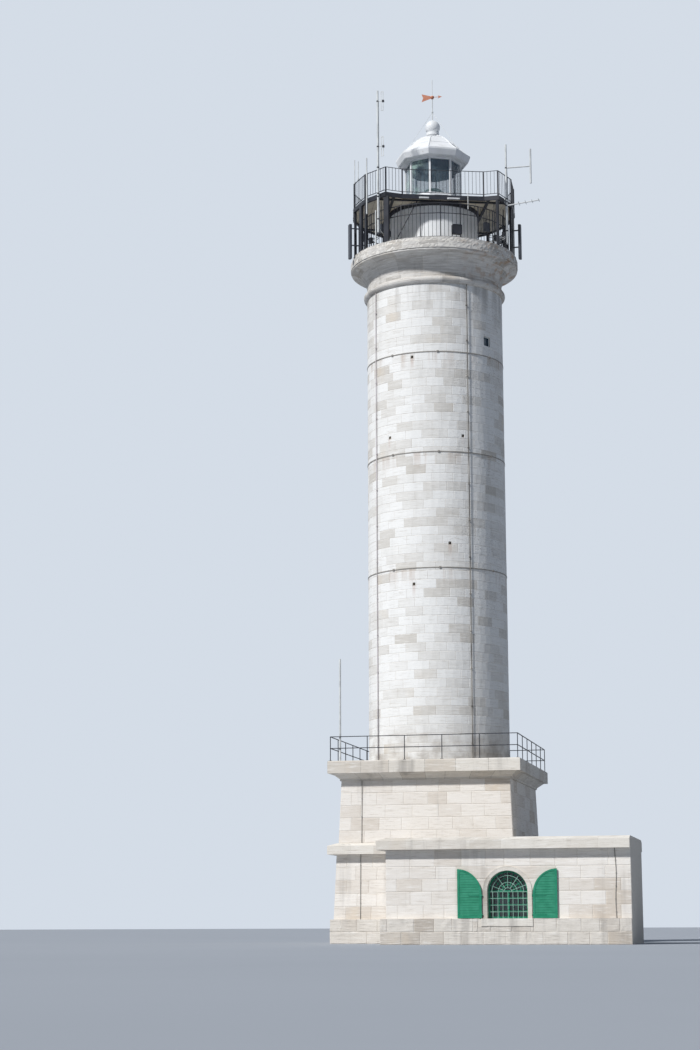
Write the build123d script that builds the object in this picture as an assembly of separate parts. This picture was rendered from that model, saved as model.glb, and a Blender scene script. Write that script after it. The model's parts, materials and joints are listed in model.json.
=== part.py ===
from build123d import *
import os
from math import atan2, ceil, cos, degrees, radians, sin, tan

os.makedirs("parts", exist_ok=True)

# All lengths are millimetres. The origin is on the ground at the axis of the round shaft,
# +Z is up, and the front of the building faces -Y. Azimuths are degrees from the front (-Y)
# towards the right (+X).

fit = 0.5                       # clearance between a curved face and what it passes

# Round shaft
shaft_foot_radius = 2960
shaft_top_radius = 2932
shaft_bore = 1850
shaft_top = 27500
lower_drum_height = 9150        # the shaft is divided in three
middle_drum_height = 9100
hoop_drops = (12230, 7320, 3000)    # hoops, below the top of the shaft
hoop_height = 40
hoop_thickness = 24
conductor_azimuths = (-48, 37)
conductor_width = 40
conductor_thickness = 15
conductor_gap = 20              # from the conductors' top to the ring at the neck
slit_azimuth = 59
slit_drop = 2320                # centre of the small shaft window, below the top of the shaft
slit_size = 420
slit_frame = 70
putlogs = ((-9.5, 3190), (-31.4, 6550), (32.5, 6620), (-9.5, 12900), (20.3, 11210))
putlog_size = 150               # square holes, at azimuths and drops below the top of the shaft
putlog_depth = 220

# Square stone base below the shaft
base_gap = 90                   # between the shaft's foot and the inner faces of the walls
base_wall = 570                 # lower storey wall, at its top
base_back_more = 1050           # how much deeper the base is behind the shaft
wall_batter = 40                # inward lean of the outer faces over each metre of height
plinth_height = 940
plinth_out = 200                # past the wing's walls
base_plinth_out = 90            # past the foot of the base's leaning walls
floor_thickness = 150
upper_setback = 70              # upper storey foot, back from the top of the lower storey
lower_height = 3540
course_face = 335               # height of the string course's upright face
course_slope = 115              # rise of its weathered top
course_out = 330
upper_height = 2515
bed_height = 290                # moulding under the terrace slab
bed_band = 70                   # its plain band at the bottom
bed_step = 60
bed_out = 350
terrace_thickness = 495
terrace_out = 490
terrace_nosing = 45

# Front wing with the arched window
wing_left = -700                # x of its left face
wing_length = 9270
wing_out = 4530                 # how far it stands in front of the base
wing_wall = 550
roof_bearing = 200
roof_thickness = 380

# Arched window, its grille and its shutters
window_half = 765               # half the opening, and the radius of its arch
window_sill_height = 960
window_spring = 1970
surround_width = 165
surround_out = 40
surround_depth = 160            # how far the surround reaches into the wall
sill_height = 280
sill_lip = 40                   # the sill's reach past the plinth and the surround
frame_inset = 260               # from the wall face to the timber frame
frame_depth = 70
frame_bar = 70
muntin = 26
muntin_depth = 34
casement_rows = 4
fan_radii = (230, 480)          # rings of the timber fanlight
fan_rays = (36, 72, 108, 144)
glass_thickness = 12
grille_inset = 120
grille_bar = 18
grille_rows = 4
grille_columns = 7
grille_drop = 25                # the top bar, below the spring of the arch
grille_radii = (150, 355, 600)
grille_rays = (20, 55, 90, 125, 160)
leaf_thickness = 45
leaf_gap = 16                   # between a closed leaf and the surround
leaf_bottom = 970
leaf_spring = 1850
leaf_reach = 945                # from the hinge axis to the middle of the window
leaf_heel = 20                  # from the hinge axis to the leaf's edge
leaf_meeting = 4
leaf_stile = 85
leaf_rail = 110                 # bottom rail
slat_pitch = 95
slat_proud = 6                  # a slat's lower edge, behind the face of the stiles
slat_lean = 14
slat_thickness = 18
hinge_heights = (1080, 1790)
hinge_radius = 14
hinge_height = 40
strap_length = 520
strap_thickness = 6

# Capital and lower gallery
torus_rise = 170                # centre of the ring at the neck, above the top of the shaft
torus_radius = 150
neck_height = 500
cavetto_height = 880
cavetto_band = 75               # plain band above the hollow
cavetto_lip = 55
capital_inset = 30              # of the capital's rim, behind the slab's edge
slab_height = 470
slab_step = 60
slab_step_height = 190
gallery_radius = 3650
drum_radius = 1920
drum_wall = 300
drum_height = 2130
lantern_floor_thickness = 120
lower_rail_radius = 3300
lower_rail_height = 1610
lower_rail_levels = (90, 1130)  # lower rails; the top one is at the full height
lower_rail_sides = 24
lower_rail_bars = 4             # between two posts
rail_bar = 30
rail_post = 36
baluster = 16

# Steel deck of the upper gallery, on posts
deck_height = 2060              # its underside, above the lower gallery
deck_thickness = 190
deck_radius = 3600
deck_front = (-25, 61.5)        # azimuths of the ends of its long front side
deck_sides = 13                 # short sides round the rest
front_recess = 220              # the front side steps back between its ends
recess_ends = (750, 600)        # from its left and right corners, along it
deck_hole_gap = 10
deck_edge = 110
deck_plate = 40
deck_beam = 110
deck_beam_offset = 2060         # main beams, from the axis
soffit_rise = 60
soffit_thickness = 12
ring_beam_drop = 110            # ring beam round the drum, below the deck
ring_beam_width = 70
deck_post = 100
deck_post_inset = 90
wide_post = 250                 # the post at the left end of the front side
duct_width = 230
duct_azimuths = (-54, 89)
brace_radius = 20
brace_head = -1020              # along the front beam from its middle
brace_foot = (3180, -22)        # radius and azimuth on the gallery floor
upper_rail_height = 1140
upper_rail_level = 90             # underside of the low rail
upper_rail_bar = 26
upper_rail_post = 55
upper_rail_spacing = 160
upper_rail_inset = 45
upper_baluster = 14

# Lantern and roof
lantern_turn = 3.3                # azimuth of one of its eight corners
lantern_radius = 1265
lantern_wall_height = 500
lantern_wall = 120
glazing_height = 1700
mullion = 75
lens_foot_radius = 420
lens_foot_height = 380
lens_radius = 500
lens_height = 530
lens_rings = 7
lens_groove = 28
lens_crown = 200
ceiling_thickness = 40
blind_height = 370
blind_thickness = 20
eave_height = 330
eave_radius = 1650
eave_foot_radius = 1470
eave_lip_height = 80
dome_steps = ((1630, 0), (1400, 185), (1170, 395), (1060, 520), (840, 710), (640, 840), (400, 955), (290, 1000))
dome_shell = 40
rib_radius = 24
neck_radius = 200
neck_rise = 70
collar_radius = 290
collar_height = 120
ball_radius = 330
ball_shell = 15
ball_seat = 0.78                # of the ball's radius, from the collar to its centre
rod_radius = 22
rod_length = 1023
stay_radius = 8
stay_drop = 620                 # where the stays meet the rod, below its top
stay_azimuths = (-50, 70, 190)
stay_reach = 1250
vane_ball = 85
tip_length = 820
tip_radius = 14
vane_tail = 480
vane_tail_height = 370
vane_nose = 440
arrow_length = 190
arrow_height = 150
vane_plate = 8

# Aerials and fittings
mast_radius = 42
mast_standoff = 60              # clear gap between a mast and the deck's edge
clamp_height = 50
left_mast_shift = 320           # along its side of the deck, from the middle
left_mast_below = 1570          # below the deck
left_mast_above = 4630          # above the deck
dipole_levels = (2090, 4150)    # centres, above the deck
dipole_length = 880
dipole_width = 90
dipole_rod = 13
dipole_arm = 200
right_mast_shift = -130
right_mast_below = 1840
right_mast_above = 2440
boom_level = 1380               # above the deck
boom_length = 1070
boom_dipole = 1560
yagi_level = -330
yagi_length = 1430
yagi_rise = 6
yagi_spans = (520, 470, 430, 400)
pole_shift = -410
pole_below = 560
pole_above = 1780
pole_radius = 30
whips = ((-68, 1120), (-59, 860))   # azimuth and length above the upper rail
whip_radius = 17
drop_rod_azimuth = 43.8
drop_rod_length = 740
drop_rod_rise = 130             # above the deck
stub_azimuth = -35
stub_radius = 3520
stub_height = 1570
stub_thickness = 28
panel_azimuths = (-62, 88)
panel_radius = 3770
panel_width = 250
panel_depth = 120
panel_low = -160                # from the lower gallery's floor
panel_height = 1540
panel_arm_levels = (420, 1180)
panel_arm = 45
flood_azimuth = 26.3
flood_radius = 3465
flood_width = 430
flood_height = 430
flood_depth = 150
flood_stand = 160
flood_fins = 5
lamp_places = ((-760, 420), (520, 540))    # middle along the deck's front and length
lamp_height = 70
lamp_depth = 55
lamp_seat = 10                  # above the lower edge of the deck's front
upper_lamp = (-30, 620)         # a third one, on the deck's edge

# Terrace railing
terrace_rail_height = 1000
terrace_rail_bar = 30
terrace_rail_inset = 105        # from the slab's edge to the middle of the railing
terrace_posts_front = 5
terrace_posts_side = 6
post_plate = 110
post_plate_thickness = 12
terrace_mast_height = 4170
terrace_mast_shift = 390        # from the corner post

# Values worked out from the sizes above
base_inner = shaft_foot_radius + base_gap
base_inner_back = base_inner + base_back_more
lower_half = base_inner + base_wall
lower_back = lower_half + base_back_more
lower_foot = lower_half + wall_batter * lower_height / 1000
course_bottom = lower_height
course_top = course_bottom + course_face + course_slope
upper_foot = lower_half - upper_setback
upper_half = upper_foot - wall_batter * upper_height / 1000
upper_back = upper_half + base_back_more
terrace_bottom = course_top + upper_height
slab_bottom = terrace_bottom + bed_height
terrace_top = slab_bottom + terrace_thickness
terrace_half = upper_half + terrace_out
terrace_back = upper_back + terrace_out
wing_right = wing_left + wing_length
wing_front = -lower_half - wing_out
wing_back = -lower_half + wing_wall
window_middle = (wing_left + wing_right) / 2
beyond = 3 * lower_foot
cavetto_bottom = shaft_top + neck_height
torus_height = shaft_top + torus_rise
gallery_bottom = cavetto_bottom + cavetto_height
gallery_top = gallery_bottom + slab_height
drum_top = gallery_top + drum_height
deck_bottom = gallery_top + deck_height
deck_top = deck_bottom + deck_thickness
front_middle = (deck_front[0] + deck_front[1]) / 2
front_offset = deck_radius * cos(radians((deck_front[1] - deck_front[0]) / 2))
front_half = deck_radius * sin(radians((deck_front[1] - deck_front[0]) / 2))
front_edge = front_offset - front_recess
side_step = (deck_front[0] + 360 - deck_front[1]) / deck_sides
side_offset = deck_radius * cos(radians(side_step / 2))
lantern_floor_top = drum_top + lantern_floor_thickness
glazing_bottom = lantern_floor_top + lantern_wall_height
eave_bottom = glazing_bottom + glazing_height
eave_top = eave_bottom + eave_height
dome_top = eave_top + dome_steps[-1][1]
collar_top = dome_top + neck_rise + collar_height
ball_middle = collar_top + ball_radius * ball_seat
rod_top = ball_middle + ball_radius + rod_length
leaf_front = wing_front - surround_out - leaf_gap - leaf_thickness
hinge_line = leaf_front + leaf_thickness / 2


def block(x0, x1, y0, y1, z0, z1):
    """A box between two corners."""
    return Pos((x0 + x1) / 2, (y0 + y1) / 2, (z0 + z1) / 2) * Box(x1 - x0, y1 - y0, z1 - z0)


def tube(outer, inner, z0, z1):
    """A round ring or, with no inner radius, a disc."""
    ring = Pos(0, 0, (z0 + z1) / 2) * Cylinder(outer, z1 - z0)
    if inner > 0:
        ring -= Pos(0, 0, (z0 + z1) / 2) * Cylinder(inner, z1 - z0 + 2)
    return ring


def around(shape, azimuth):
    """Turn what is made at the front to its azimuth."""
    return Rot(0, 0, azimuth) * shape


def place(radius, azimuth):
    """The plan position of a radius and an azimuth."""
    return radius * sin(radians(azimuth)), -radius * cos(radians(azimuth))


def rod_between(start, end, radius, corners=0):
    """A straight bar from one point to another, round or with a number of corners."""
    path = Edge.make_line(start, end)
    outline = RegularPolygon(radius, corners) if corners else Circle(radius)
    return extrude(Plane(origin=start, z_dir=path % 0) * outline, amount=path.length)


def ring_plan(points):
    """A flat face from plan points at height zero."""
    return make_face(Polyline(*points, close=True))


def prism(points, z0, z1):
    return extrude(Pos(0, 0, z0) * ring_plan(points), amount=z1 - z0)


def turned(points):
    """A solid of revolution from points of radius and height."""
    return revolve(Plane.XZ * make_face(Polyline(*points, close=True)), Axis.Z)


def bar_along(start, end, width, height, z0):
    """A straight rail of a rectangular section between two plan points."""
    line = Edge.make_line((start[0], start[1], 0), (end[0], end[1], 0))
    middle = line @ 0.5
    turn = line.tangent_angle_at(0.5)
    return Pos(middle.X, middle.Y, z0 + height / 2) * Rot(0, 0, turn) * Box(line.length + width, width, height)


def leaning_block(half_low, half_high, z0, z1):
    """A block with leaning faces, reaching further at the back by the same length all the way up."""
    low = Pos(0, base_back_more / 2, z0) * Rectangle(2 * half_low, 2 * half_low + base_back_more)
    high = Pos(0, base_back_more / 2, z1) * Rectangle(2 * half_high, 2 * half_high + base_back_more)
    return loft([low, high])


def wall_quarter(storey, side):
    """The front, back, left or right wall of a storey."""
    low, high = -1, terrace_top
    if side == "front":
        return storey & block(-beyond, beyond, -beyond, -base_inner, low, high)
    if side == "back":
        return storey & block(-beyond, beyond, base_inner_back, beyond, low, high)
    if side == "left":
        return storey & block(-beyond, -base_inner, -base_inner, base_inner_back, low, high)
    return storey & block(base_inner, beyond, -base_inner, base_inner_back, low, high)


def lower_storey():
    plinth_half = lower_foot + base_plinth_out
    plinth = leaning_block(plinth_half, plinth_half, 0, plinth_height)
    plinth -= block(wing_left, beyond, -beyond, wing_back, -1, plinth_height + 1)
    walls = leaning_block(lower_foot, lower_half, 0, lower_height) + plinth
    return walls - block(-base_inner, base_inner, -base_inner, base_inner_back, -1, lower_height + 1)


def upper_storey():
    walls = leaning_block(upper_foot, upper_half, course_top, terrace_bottom)
    return walls - block(-base_inner, base_inner, -base_inner, base_inner_back, course_top - 1, terrace_bottom + 1)


def ground_floor():
    base = block(-base_inner, base_inner, -base_inner, base_inner_back, 0, floor_thickness)
    wing = block(wing_left + wing_wall, wing_right - wing_wall, wing_front + wing_wall, -lower_half,
                 0, floor_thickness)
    return [base, wing - leaning_block(lower_foot, lower_half, 0, lower_height)]


def plan_outline(out):
    """The outline of base and wing together, moved out all round."""
    return [
        (-lower_half - out, lower_back + out),
        (-lower_half - out, -lower_half - out),
        (wing_left - out, -lower_half - out),
        (wing_left - out, wing_front - out),
        (wing_right + min(out, 0), wing_front - out),
        (wing_right + min(out, 0), wing_back + out),
        (lower_half + out, wing_back + out),
        (lower_half + out, lower_back + out),
    ]


def string_course():
    face = prism(plan_outline(course_out), course_bottom, course_bottom + course_face)
    low = Pos(0, 0, course_bottom + course_face) * ring_plan(plan_outline(course_out))
    high = Pos(0, 0, course_top) * ring_plan(plan_outline(0))
    band = face + loft([low, high])
    base_hole = block(-base_inner, base_inner, -base_inner, base_inner_back, course_bottom - 1, course_top + 1)
    wing_hole = block(wing_left + wing_wall - roof_bearing, wing_right - wing_wall + roof_bearing,
                      wing_front + wing_wall - roof_bearing, -lower_half,
                      course_bottom - 1, course_top + 1)
    return band - base_hole - wing_hole


def wing_roof():
    return block(wing_left + wing_wall - roof_bearing, wing_right - wing_wall + roof_bearing,
                 wing_front + wing_wall - roof_bearing, -lower_half,
                 course_bottom, course_bottom + roof_thickness)


def terrace_slab():
    slab = block(-terrace_half, terrace_half, -terrace_half, terrace_back, slab_bottom, terrace_top)
    slab = fillet(slab.faces().sort_by(Axis.Z)[-1].edges(), terrace_nosing)
    band = leaning_block(upper_half + bed_step, upper_half + bed_step, terrace_bottom, terrace_bottom + bed_band)
    slope = leaning_block(upper_half + bed_step, upper_half + bed_out, terrace_bottom + bed_band, slab_bottom)
    hole = tube(shaft_radius(terrace_bottom) + fit, 0, terrace_bottom - 1, terrace_top + 1)
    return band + slope + slab - hole


def terrace_railing():
    half = terrace_half - terrace_rail_inset
    back = terrace_back - terrace_rail_inset
    corners = [(-half, -half), (half, -half), (half, back), (-half, back)]
    bar = terrace_rail_bar
    pieces = []
    for i, start in enumerate(corners):
        end = corners[(i + 1) % 4]
        posts = terrace_posts_front if i % 2 == 0 else terrace_posts_side
        for height in (terrace_rail_height - bar, terrace_rail_height / 2):
            pieces.append(bar_along(start, end, bar, bar, terrace_top + height))
        for k in range(posts):
            t = k / posts
            x = start[0] + (end[0] - start[0]) * t
            y = start[1] + (end[1] - start[1]) * t
            pieces.append(block(x - bar / 2, x + bar / 2, y - bar / 2, y + bar / 2,
                                terrace_top, terrace_top + terrace_rail_height - bar / 2))
            pieces.append(block(x - post_plate / 2, x + post_plate / 2, y - post_plate / 2, y + post_plate / 2,
                                terrace_top, terrace_top + post_plate_thickness))
    return pieces[0].fuse(*pieces[1:])


def terrace_mast():
    x = -terrace_half + terrace_rail_inset + terrace_mast_shift
    y = -terrace_half + terrace_rail_inset + terrace_rail_bar + mast_radius
    foot = Pos(x, y, terrace_top + post_plate_thickness / 2) * Cylinder(2 * mast_radius, post_plate_thickness)
    return foot + Pos(x, y, terrace_top + terrace_mast_height / 2) * Cylinder(mast_radius, terrace_mast_height)


def arch_face(half, bottom, spring):
    """An upright face with a half-round top, in the XZ plane round the window's middle."""
    outline = [
        Line((-half, bottom), (half, bottom)),
        Line((half, bottom), (half, spring)),
        ThreePointArc((half, spring), (0, spring + half), (-half, spring)),
        Line((-half, spring), (-half, bottom)),
    ]
    return make_face(outline)


def window_plane(y):
    """An upright plane facing the front, with its origin on the ground under the window's middle."""
    return Plane(origin=(window_middle, y, 0), x_dir=(1, 0, 0), z_dir=(0, -1, 0))


def arch_solid(half, bottom, spring, y0, y1):
    """The arch face carried from y0 to y1, at the window."""
    return extrude(window_plane(y1) * arch_face(half, bottom, spring), amount=y1 - y0)


def fan(radii, rays, reach, bar, spring, y0, y1):
    """Half rings and rays over the spring of the arch; the rays end on a half round of the given reach."""
    pieces = []
    for radius in radii:
        outline = [
            ThreePointArc((radius + bar / 2, spring), (0, spring + radius + bar / 2), (-radius - bar / 2, spring)),
            Line((-radius - bar / 2, spring), (-radius + bar / 2, spring)),
            ThreePointArc((-radius + bar / 2, spring), (0, spring + radius - bar / 2), (radius - bar / 2, spring)),
            Line((radius - bar / 2, spring), (radius + bar / 2, spring)),
        ]
        pieces.append(extrude(window_plane(y1) * make_face(outline), amount=y1 - y0))
    for angle in rays:
        ray = block(radii[0], reach + bar, -bar / 2, bar / 2, 0, y1 - y0)
        pieces.append(window_plane(y1) * Pos(0, spring, 0) * Rot(0, 0, angle) * ray)
    fused = pieces[0].fuse(*pieces[1:])
    return fused & arch_solid(reach, spring - bar, spring, y0 - 1, y1 + 1)


def wing_front_wall():
    y0, y1 = wing_front, wing_front + wing_wall
    wall = block(wing_left, wing_right, y0, y1, 0, course_bottom)
    wall += block(wing_left - plinth_out, wing_right, y0 - plinth_out, y0, 0, plinth_height)
    wall -= arch_solid(window_half, window_sill_height, window_spring, y0 - 1, y1 + 1)
    wide = window_half + surround_width
    wall -= arch_solid(wide, window_sill_height, window_spring, y0 - 1, y0 + surround_depth)
    return wall - window_sill()


def wing_left_wall():
    wall = block(wing_left, wing_left + wing_wall, wing_front + wing_wall, -base_inner, 0, course_bottom)
    plinth = block(wing_left - plinth_out, wing_left, wing_front, -base_inner, 0, plinth_height)
    plinth_half = lower_foot + base_plinth_out
    base = leaning_block(lower_foot, lower_half, 0, lower_height)
    base_plinth = leaning_block(plinth_half, plinth_half, 0, plinth_height)
    return wall - base + (plinth - base_plinth)


def wing_right_wall():
    return block(wing_right - wing_wall, wing_right, wing_front + wing_wall, -lower_half, 0, course_bottom)


def wing_back_wall():
    wall = block(base_inner, wing_right, -lower_half, wing_back, 0, course_bottom)
    return wall - leaning_block(lower_foot, lower_half, 0, lower_height)


def window_surround():
    y0, y1 = wing_front - surround_out, wing_front + surround_depth
    wide = window_half + surround_width
    stone = arch_solid(wide, window_sill_height, window_spring, y0, y1)
    return stone - arch_solid(window_half, window_sill_height - 1, window_spring, y0 - 1, y1 + 1)


def window_sill():
    reach = window_half + surround_width + sill_lip
    return block(window_middle - reach, window_middle + reach,
                 wing_front - plinth_out - sill_lip, wing_front + surround_depth,
                 window_sill_height - sill_height, window_sill_height)


def window_frame():
    y0 = wing_front + frame_inset
    y1 = y0 + frame_depth
    rim = arch_solid(window_half, window_sill_height, window_spring, y0, y1)
    inner = window_half - frame_bar
    rim -= arch_solid(inner, window_sill_height + frame_bar, window_spring, y0 - 1, y1 + 1)
    low, high = window_sill_height + frame_bar / 2, window_spring
    pieces = [
        block(window_middle - frame_bar / 2, window_middle + frame_bar / 2, y0, y1, low, high),
        block(window_middle - inner - frame_bar / 2, window_middle + inner + frame_bar / 2, y0, y1,
              window_spring - frame_bar / 2, window_spring + frame_bar / 2),
    ]
    m0, m1 = y1 - muntin_depth, y1
    for side in (-1, 1):
        x = window_middle + side * (inner + frame_bar / 2) / 2
        pieces.append(block(x - muntin / 2, x + muntin / 2, m0, m1, low, high))
    for k in range(1, casement_rows):
        z = low + k * (high - low) / casement_rows
        pieces.append(block(window_middle - inner - 1, window_middle + inner + 1, m0, m1,
                            z - muntin / 2, z + muntin / 2))
    pieces.append(fan(fan_radii, fan_rays, inner + frame_bar / 2, muntin, window_spring, m0, m1))
    return rim.fuse(*pieces)


def window_glass():
    y0 = wing_front + frame_inset + frame_depth
    return arch_solid(window_half, window_sill_height, window_spring, y0, y0 + glass_thickness)


def window_grille():
    y = wing_front + grille_inset
    bar = grille_bar
    left, right = window_middle - window_half, window_middle + window_half
    low, high = window_sill_height, window_spring - grille_drop
    pieces = []
    for k in range(grille_rows):
        z = high - k * (high - low) / grille_rows
        pieces.append(block(left, right, y - bar / 2, y + bar / 2, z - bar / 2, z + bar / 2))
    for k in range(grille_columns):
        x = left + (k + 1) * (right - left) / (grille_columns + 1)
        pieces.append(block(x - bar / 2, x + bar / 2, y - bar / 2, y + bar / 2, low, high))
    top = fan(grille_radii, grille_rays, window_half - grille_drop, bar, high, y - bar / 2, y + bar / 2)
    return pieces[0].fuse(*pieces[1:], top)


def leaf_outline(inset_side, inset_bottom):
    """Half of an arched opening, moved in from its edges."""
    heel = leaf_heel + inset_side
    reach = leaf_reach - leaf_meeting - inset_side
    bottom = leaf_bottom + inset_bottom
    rise = leaf_reach - inset_side
    outline = [
        Line((heel, bottom), (reach, bottom)),
        Line((reach, bottom), (reach, leaf_spring + rise)),
        EllipticalCenterArc((reach, leaf_spring), reach - heel, rise, start_angle=90, arc_size=90),
        Line((heel, leaf_spring), (heel, bottom)),
    ]
    return make_face(outline)


def shutter_leaf(side):
    """An open leaf of louvred slats in a frame: side is -1 on the left of the window and 1 on the right."""
    half = leaf_thickness / 2
    plane = Plane(origin=(0, half, 0), x_dir=(1, 0, 0), z_dir=(0, -1, 0))
    rim = extrude(plane * leaf_outline(0, 0), amount=leaf_thickness)
    inside = extrude(plane * leaf_outline(leaf_stile, leaf_rail), amount=leaf_thickness)
    bottom = leaf_bottom + leaf_rail
    top = leaf_spring + leaf_reach - leaf_stile
    front = -half + slat_proud
    section = []
    for k in range(ceil((top - bottom) / slat_pitch)):
        section += [(front, bottom + k * slat_pitch), (front + slat_lean, bottom + (k + 1) * slat_pitch)]
    last = section[-1]
    section += [(last[0] + slat_thickness, last[1]), (front + slat_lean + slat_thickness, bottom)]
    slats = extrude(Plane.YZ * make_face(Polyline(*section, close=True)), amount=leaf_reach) & inside
    leaf = rim - inside + slats
    for z in hinge_heights:
        leaf += block(0, strap_length, -half - strap_thickness, -half + slat_proud, z, z + hinge_height)
        leaf += block(-hinge_radius, leaf_heel + 1, -half - strap_thickness, 0, z, z + hinge_height)
        leaf += Pos(0, 0, z + hinge_height / 2) * Cylinder(hinge_radius, hinge_height)
    if side < 0:
        leaf = mirror(leaf, Plane.YZ)
    return Pos(window_middle + side * leaf_reach, hinge_line, 0) * leaf


def shutter_pintles():
    brackets = []
    for side in (-1, 1):
        x = window_middle + side * leaf_reach
        for z in hinge_heights:
            top = z - fit
            arm = block(x - hinge_radius * 0.7, x + hinge_radius * 0.7, hinge_line, wing_front,
                        top - hinge_height / 2, top)
            barrel = Pos(x, hinge_line, top - hinge_height / 2) * Cylinder(hinge_radius, hinge_height)
            brackets.append(arm + barrel)
    return brackets


def shaft_radius(z):
    return shaft_foot_radius + (shaft_top_radius - shaft_foot_radius) * z / shaft_top


def shaft_piece(z0, z1):
    piece = turned([(shaft_bore, z0), (shaft_radius(z0), z0), (shaft_radius(z1), z1), (shaft_bore, z1)])
    for azimuth, drop in putlogs:
        z = shaft_top - drop
        if z0 < z < z1:
            outer = shaft_radius(z)
            hole = block(-putlog_size / 2, putlog_size / 2, -outer - 10, -outer + putlog_depth,
                         z - putlog_size / 2, z + putlog_size / 2)
            piece -= around(hole, azimuth)
    return piece


def shaft_window_hole():
    z = shaft_top - slit_drop
    hole = block(-slit_size / 2, slit_size / 2, -shaft_foot_radius - 100, 0, z - slit_size / 2, z + slit_size / 2)
    return around(hole, slit_azimuth)


def shaft_window():
    z = shaft_top - slit_drop
    outer = shaft_radius(z) - slit_frame
    rim = slit_size / 2 - fit
    frame = block(-rim, rim, -outer, -outer + slit_frame, z - rim, z + rim)
    clear = rim - slit_frame / 2
    frame -= block(-clear, clear, -outer - 1, -outer + slit_frame - glass_thickness, z - clear, z + clear)
    return around(frame, slit_azimuth)


def shaft_hoops():
    hoops = []
    for drop in hoop_drops:
        z = shaft_top - drop
        hoops.append(tube(shaft_radius(z) + hoop_thickness, shaft_radius(z - hoop_height / 2) + fit,
                          z - hoop_height / 2, z + hoop_height / 2))
    return hoops


def conductors():
    strips = []
    radius = shaft_foot_radius + hoop_thickness + conductor_thickness / 2 + 3
    height = torus_height - torus_radius - terrace_top - conductor_gap
    for azimuth in conductor_azimuths:
        strip = Pos(0, -radius, terrace_top + height / 2) * Box(conductor_width, conductor_thickness, height)
        strips.append(around(strip, azimuth))
    return strips


def capital():
    bead = Plane.XZ * (Pos(shaft_top_radius, torus_height) * Circle(torus_radius))
    rim = gallery_radius - capital_inset
    hollow = rim - cavetto_lip
    band = gallery_bottom - cavetto_band
    outline = [
        Line((shaft_bore, shaft_top), (shaft_top_radius, shaft_top)),
        Line((shaft_top_radius, shaft_top), (shaft_top_radius, cavetto_bottom)),
        EllipticalCenterArc((hollow, cavetto_bottom), hollow - shaft_top_radius, band - cavetto_bottom,
                            start_angle=90, arc_size=90),
        Line((hollow, band), (rim, band)),
        Line((rim, band), (rim, gallery_bottom)),
        Line((rim, gallery_bottom), (shaft_bore, gallery_bottom)),
        Line((shaft_bore, gallery_bottom), (shaft_bore, shaft_top)),
    ]
    body = revolve(Plane.XZ * make_face(outline), Axis.Z)
    return body + revolve(bead, Axis.Z)


def gallery_slab():
    step = gallery_top - slab_step_height
    return tube(gallery_radius, 0, gallery_bottom, step) + tube(gallery_radius - slab_step, 0, step, gallery_top)


def scaled(points, share):
    return [(x * share, y * share) for x, y in points]


def railing(points, z0, height, levels, bar, post, thin, counts):
    """Rings of rails at their levels, a post at each plan point and thin bars between the posts."""
    radius = (points[0][0] ** 2 + points[0][1] ** 2) ** 0.5
    outer = scaled(points, (radius + bar / 2) / radius)
    inner = scaled(points, (radius - bar / 2) / radius)
    pieces = []
    for level in list(levels) + [height - bar]:
        pieces.append(prism(outer, z0 + level, z0 + level + bar) - prism(inner, z0 + level - 1, z0 + level + bar + 1))
    for i, start in enumerate(points):
        end = points[(i + 1) % len(points)]
        turn = Edge.make_line((start[0], start[1], 0), (end[0], end[1], 0)).tangent_angle_at(0.5)
        tall = height - bar / 2
        pieces.append(Pos(start[0], start[1], z0 + tall / 2) * Rot(0, 0, turn) * Box(post, post, tall))
        for k in range(1, counts[i] + 1):
            t = k / (counts[i] + 1)
            x, y = start[0] + (end[0] - start[0]) * t, start[1] + (end[1] - start[1]) * t
            reach = height - bar / 2 - levels[0]
            pieces.append(Pos(x, y, z0 + levels[0] + reach / 2) * Rot(0, 0, turn) * Box(thin, thin, reach))
    return pieces[0].fuse(*pieces[1:])


def deck_points(radius):
    """The deck's plan from the right end of its front side round to the recess between the ends."""
    corners = [place(radius, deck_front[1] + k * side_step) for k in range(deck_sides + 1)]
    share = radius / deck_radius
    for along in (recess_ends[0] - front_half, front_half - recess_ends[1]):
        reach = (along ** 2 + front_edge ** 2) ** 0.5
        corners.append(place(share * reach, front_middle + degrees(atan2(along, front_edge))))
    return corners


def lower_gallery_railing():
    points = [place(lower_rail_radius, k * 360 / lower_rail_sides) for k in range(lower_rail_sides)]
    return railing(points, gallery_top, lower_rail_height, lower_rail_levels, rail_bar, rail_post, baluster,
                   [lower_rail_bars] * lower_rail_sides)


def service_drum():
    return tube(drum_radius, drum_radius - drum_wall, gallery_top, drum_top)


def lantern_floor():
    return tube(drum_radius, 0, drum_top, lantern_floor_top)


def post_at(radius, azimuth, width, depth):
    return around(block(-width / 2, width / 2, -radius - depth / 2, -radius + depth / 2,
                        gallery_top, deck_bottom), azimuth)


def deck_posts():
    """Posts at the deck's corners, the last of them wide, and two upright ducts between posts."""
    posts = []
    for k in range(deck_sides + 1):
        width = wide_post if k == deck_sides else deck_post
        posts.append(post_at(deck_radius - deck_post_inset, deck_front[1] + k * side_step, width, deck_post))
    for azimuth in duct_azimuths:
        posts.append(post_at(deck_radius - deck_post_inset * 1.2, azimuth, duct_width, deck_post))
    return posts


def beam_grid():
    """Four main beams, two each way, just clear of the drum."""
    length = 2 * deck_radius
    beams = []
    for quarter in range(4):
        beam = block(-length / 2, length / 2, -deck_beam_offset - deck_beam / 2, -deck_beam_offset + deck_beam / 2,
                     deck_bottom, deck_top - deck_plate)
        beams.append(around(beam, front_middle + 90 * quarter))
    return beams[0].fuse(*beams[1:])


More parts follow.
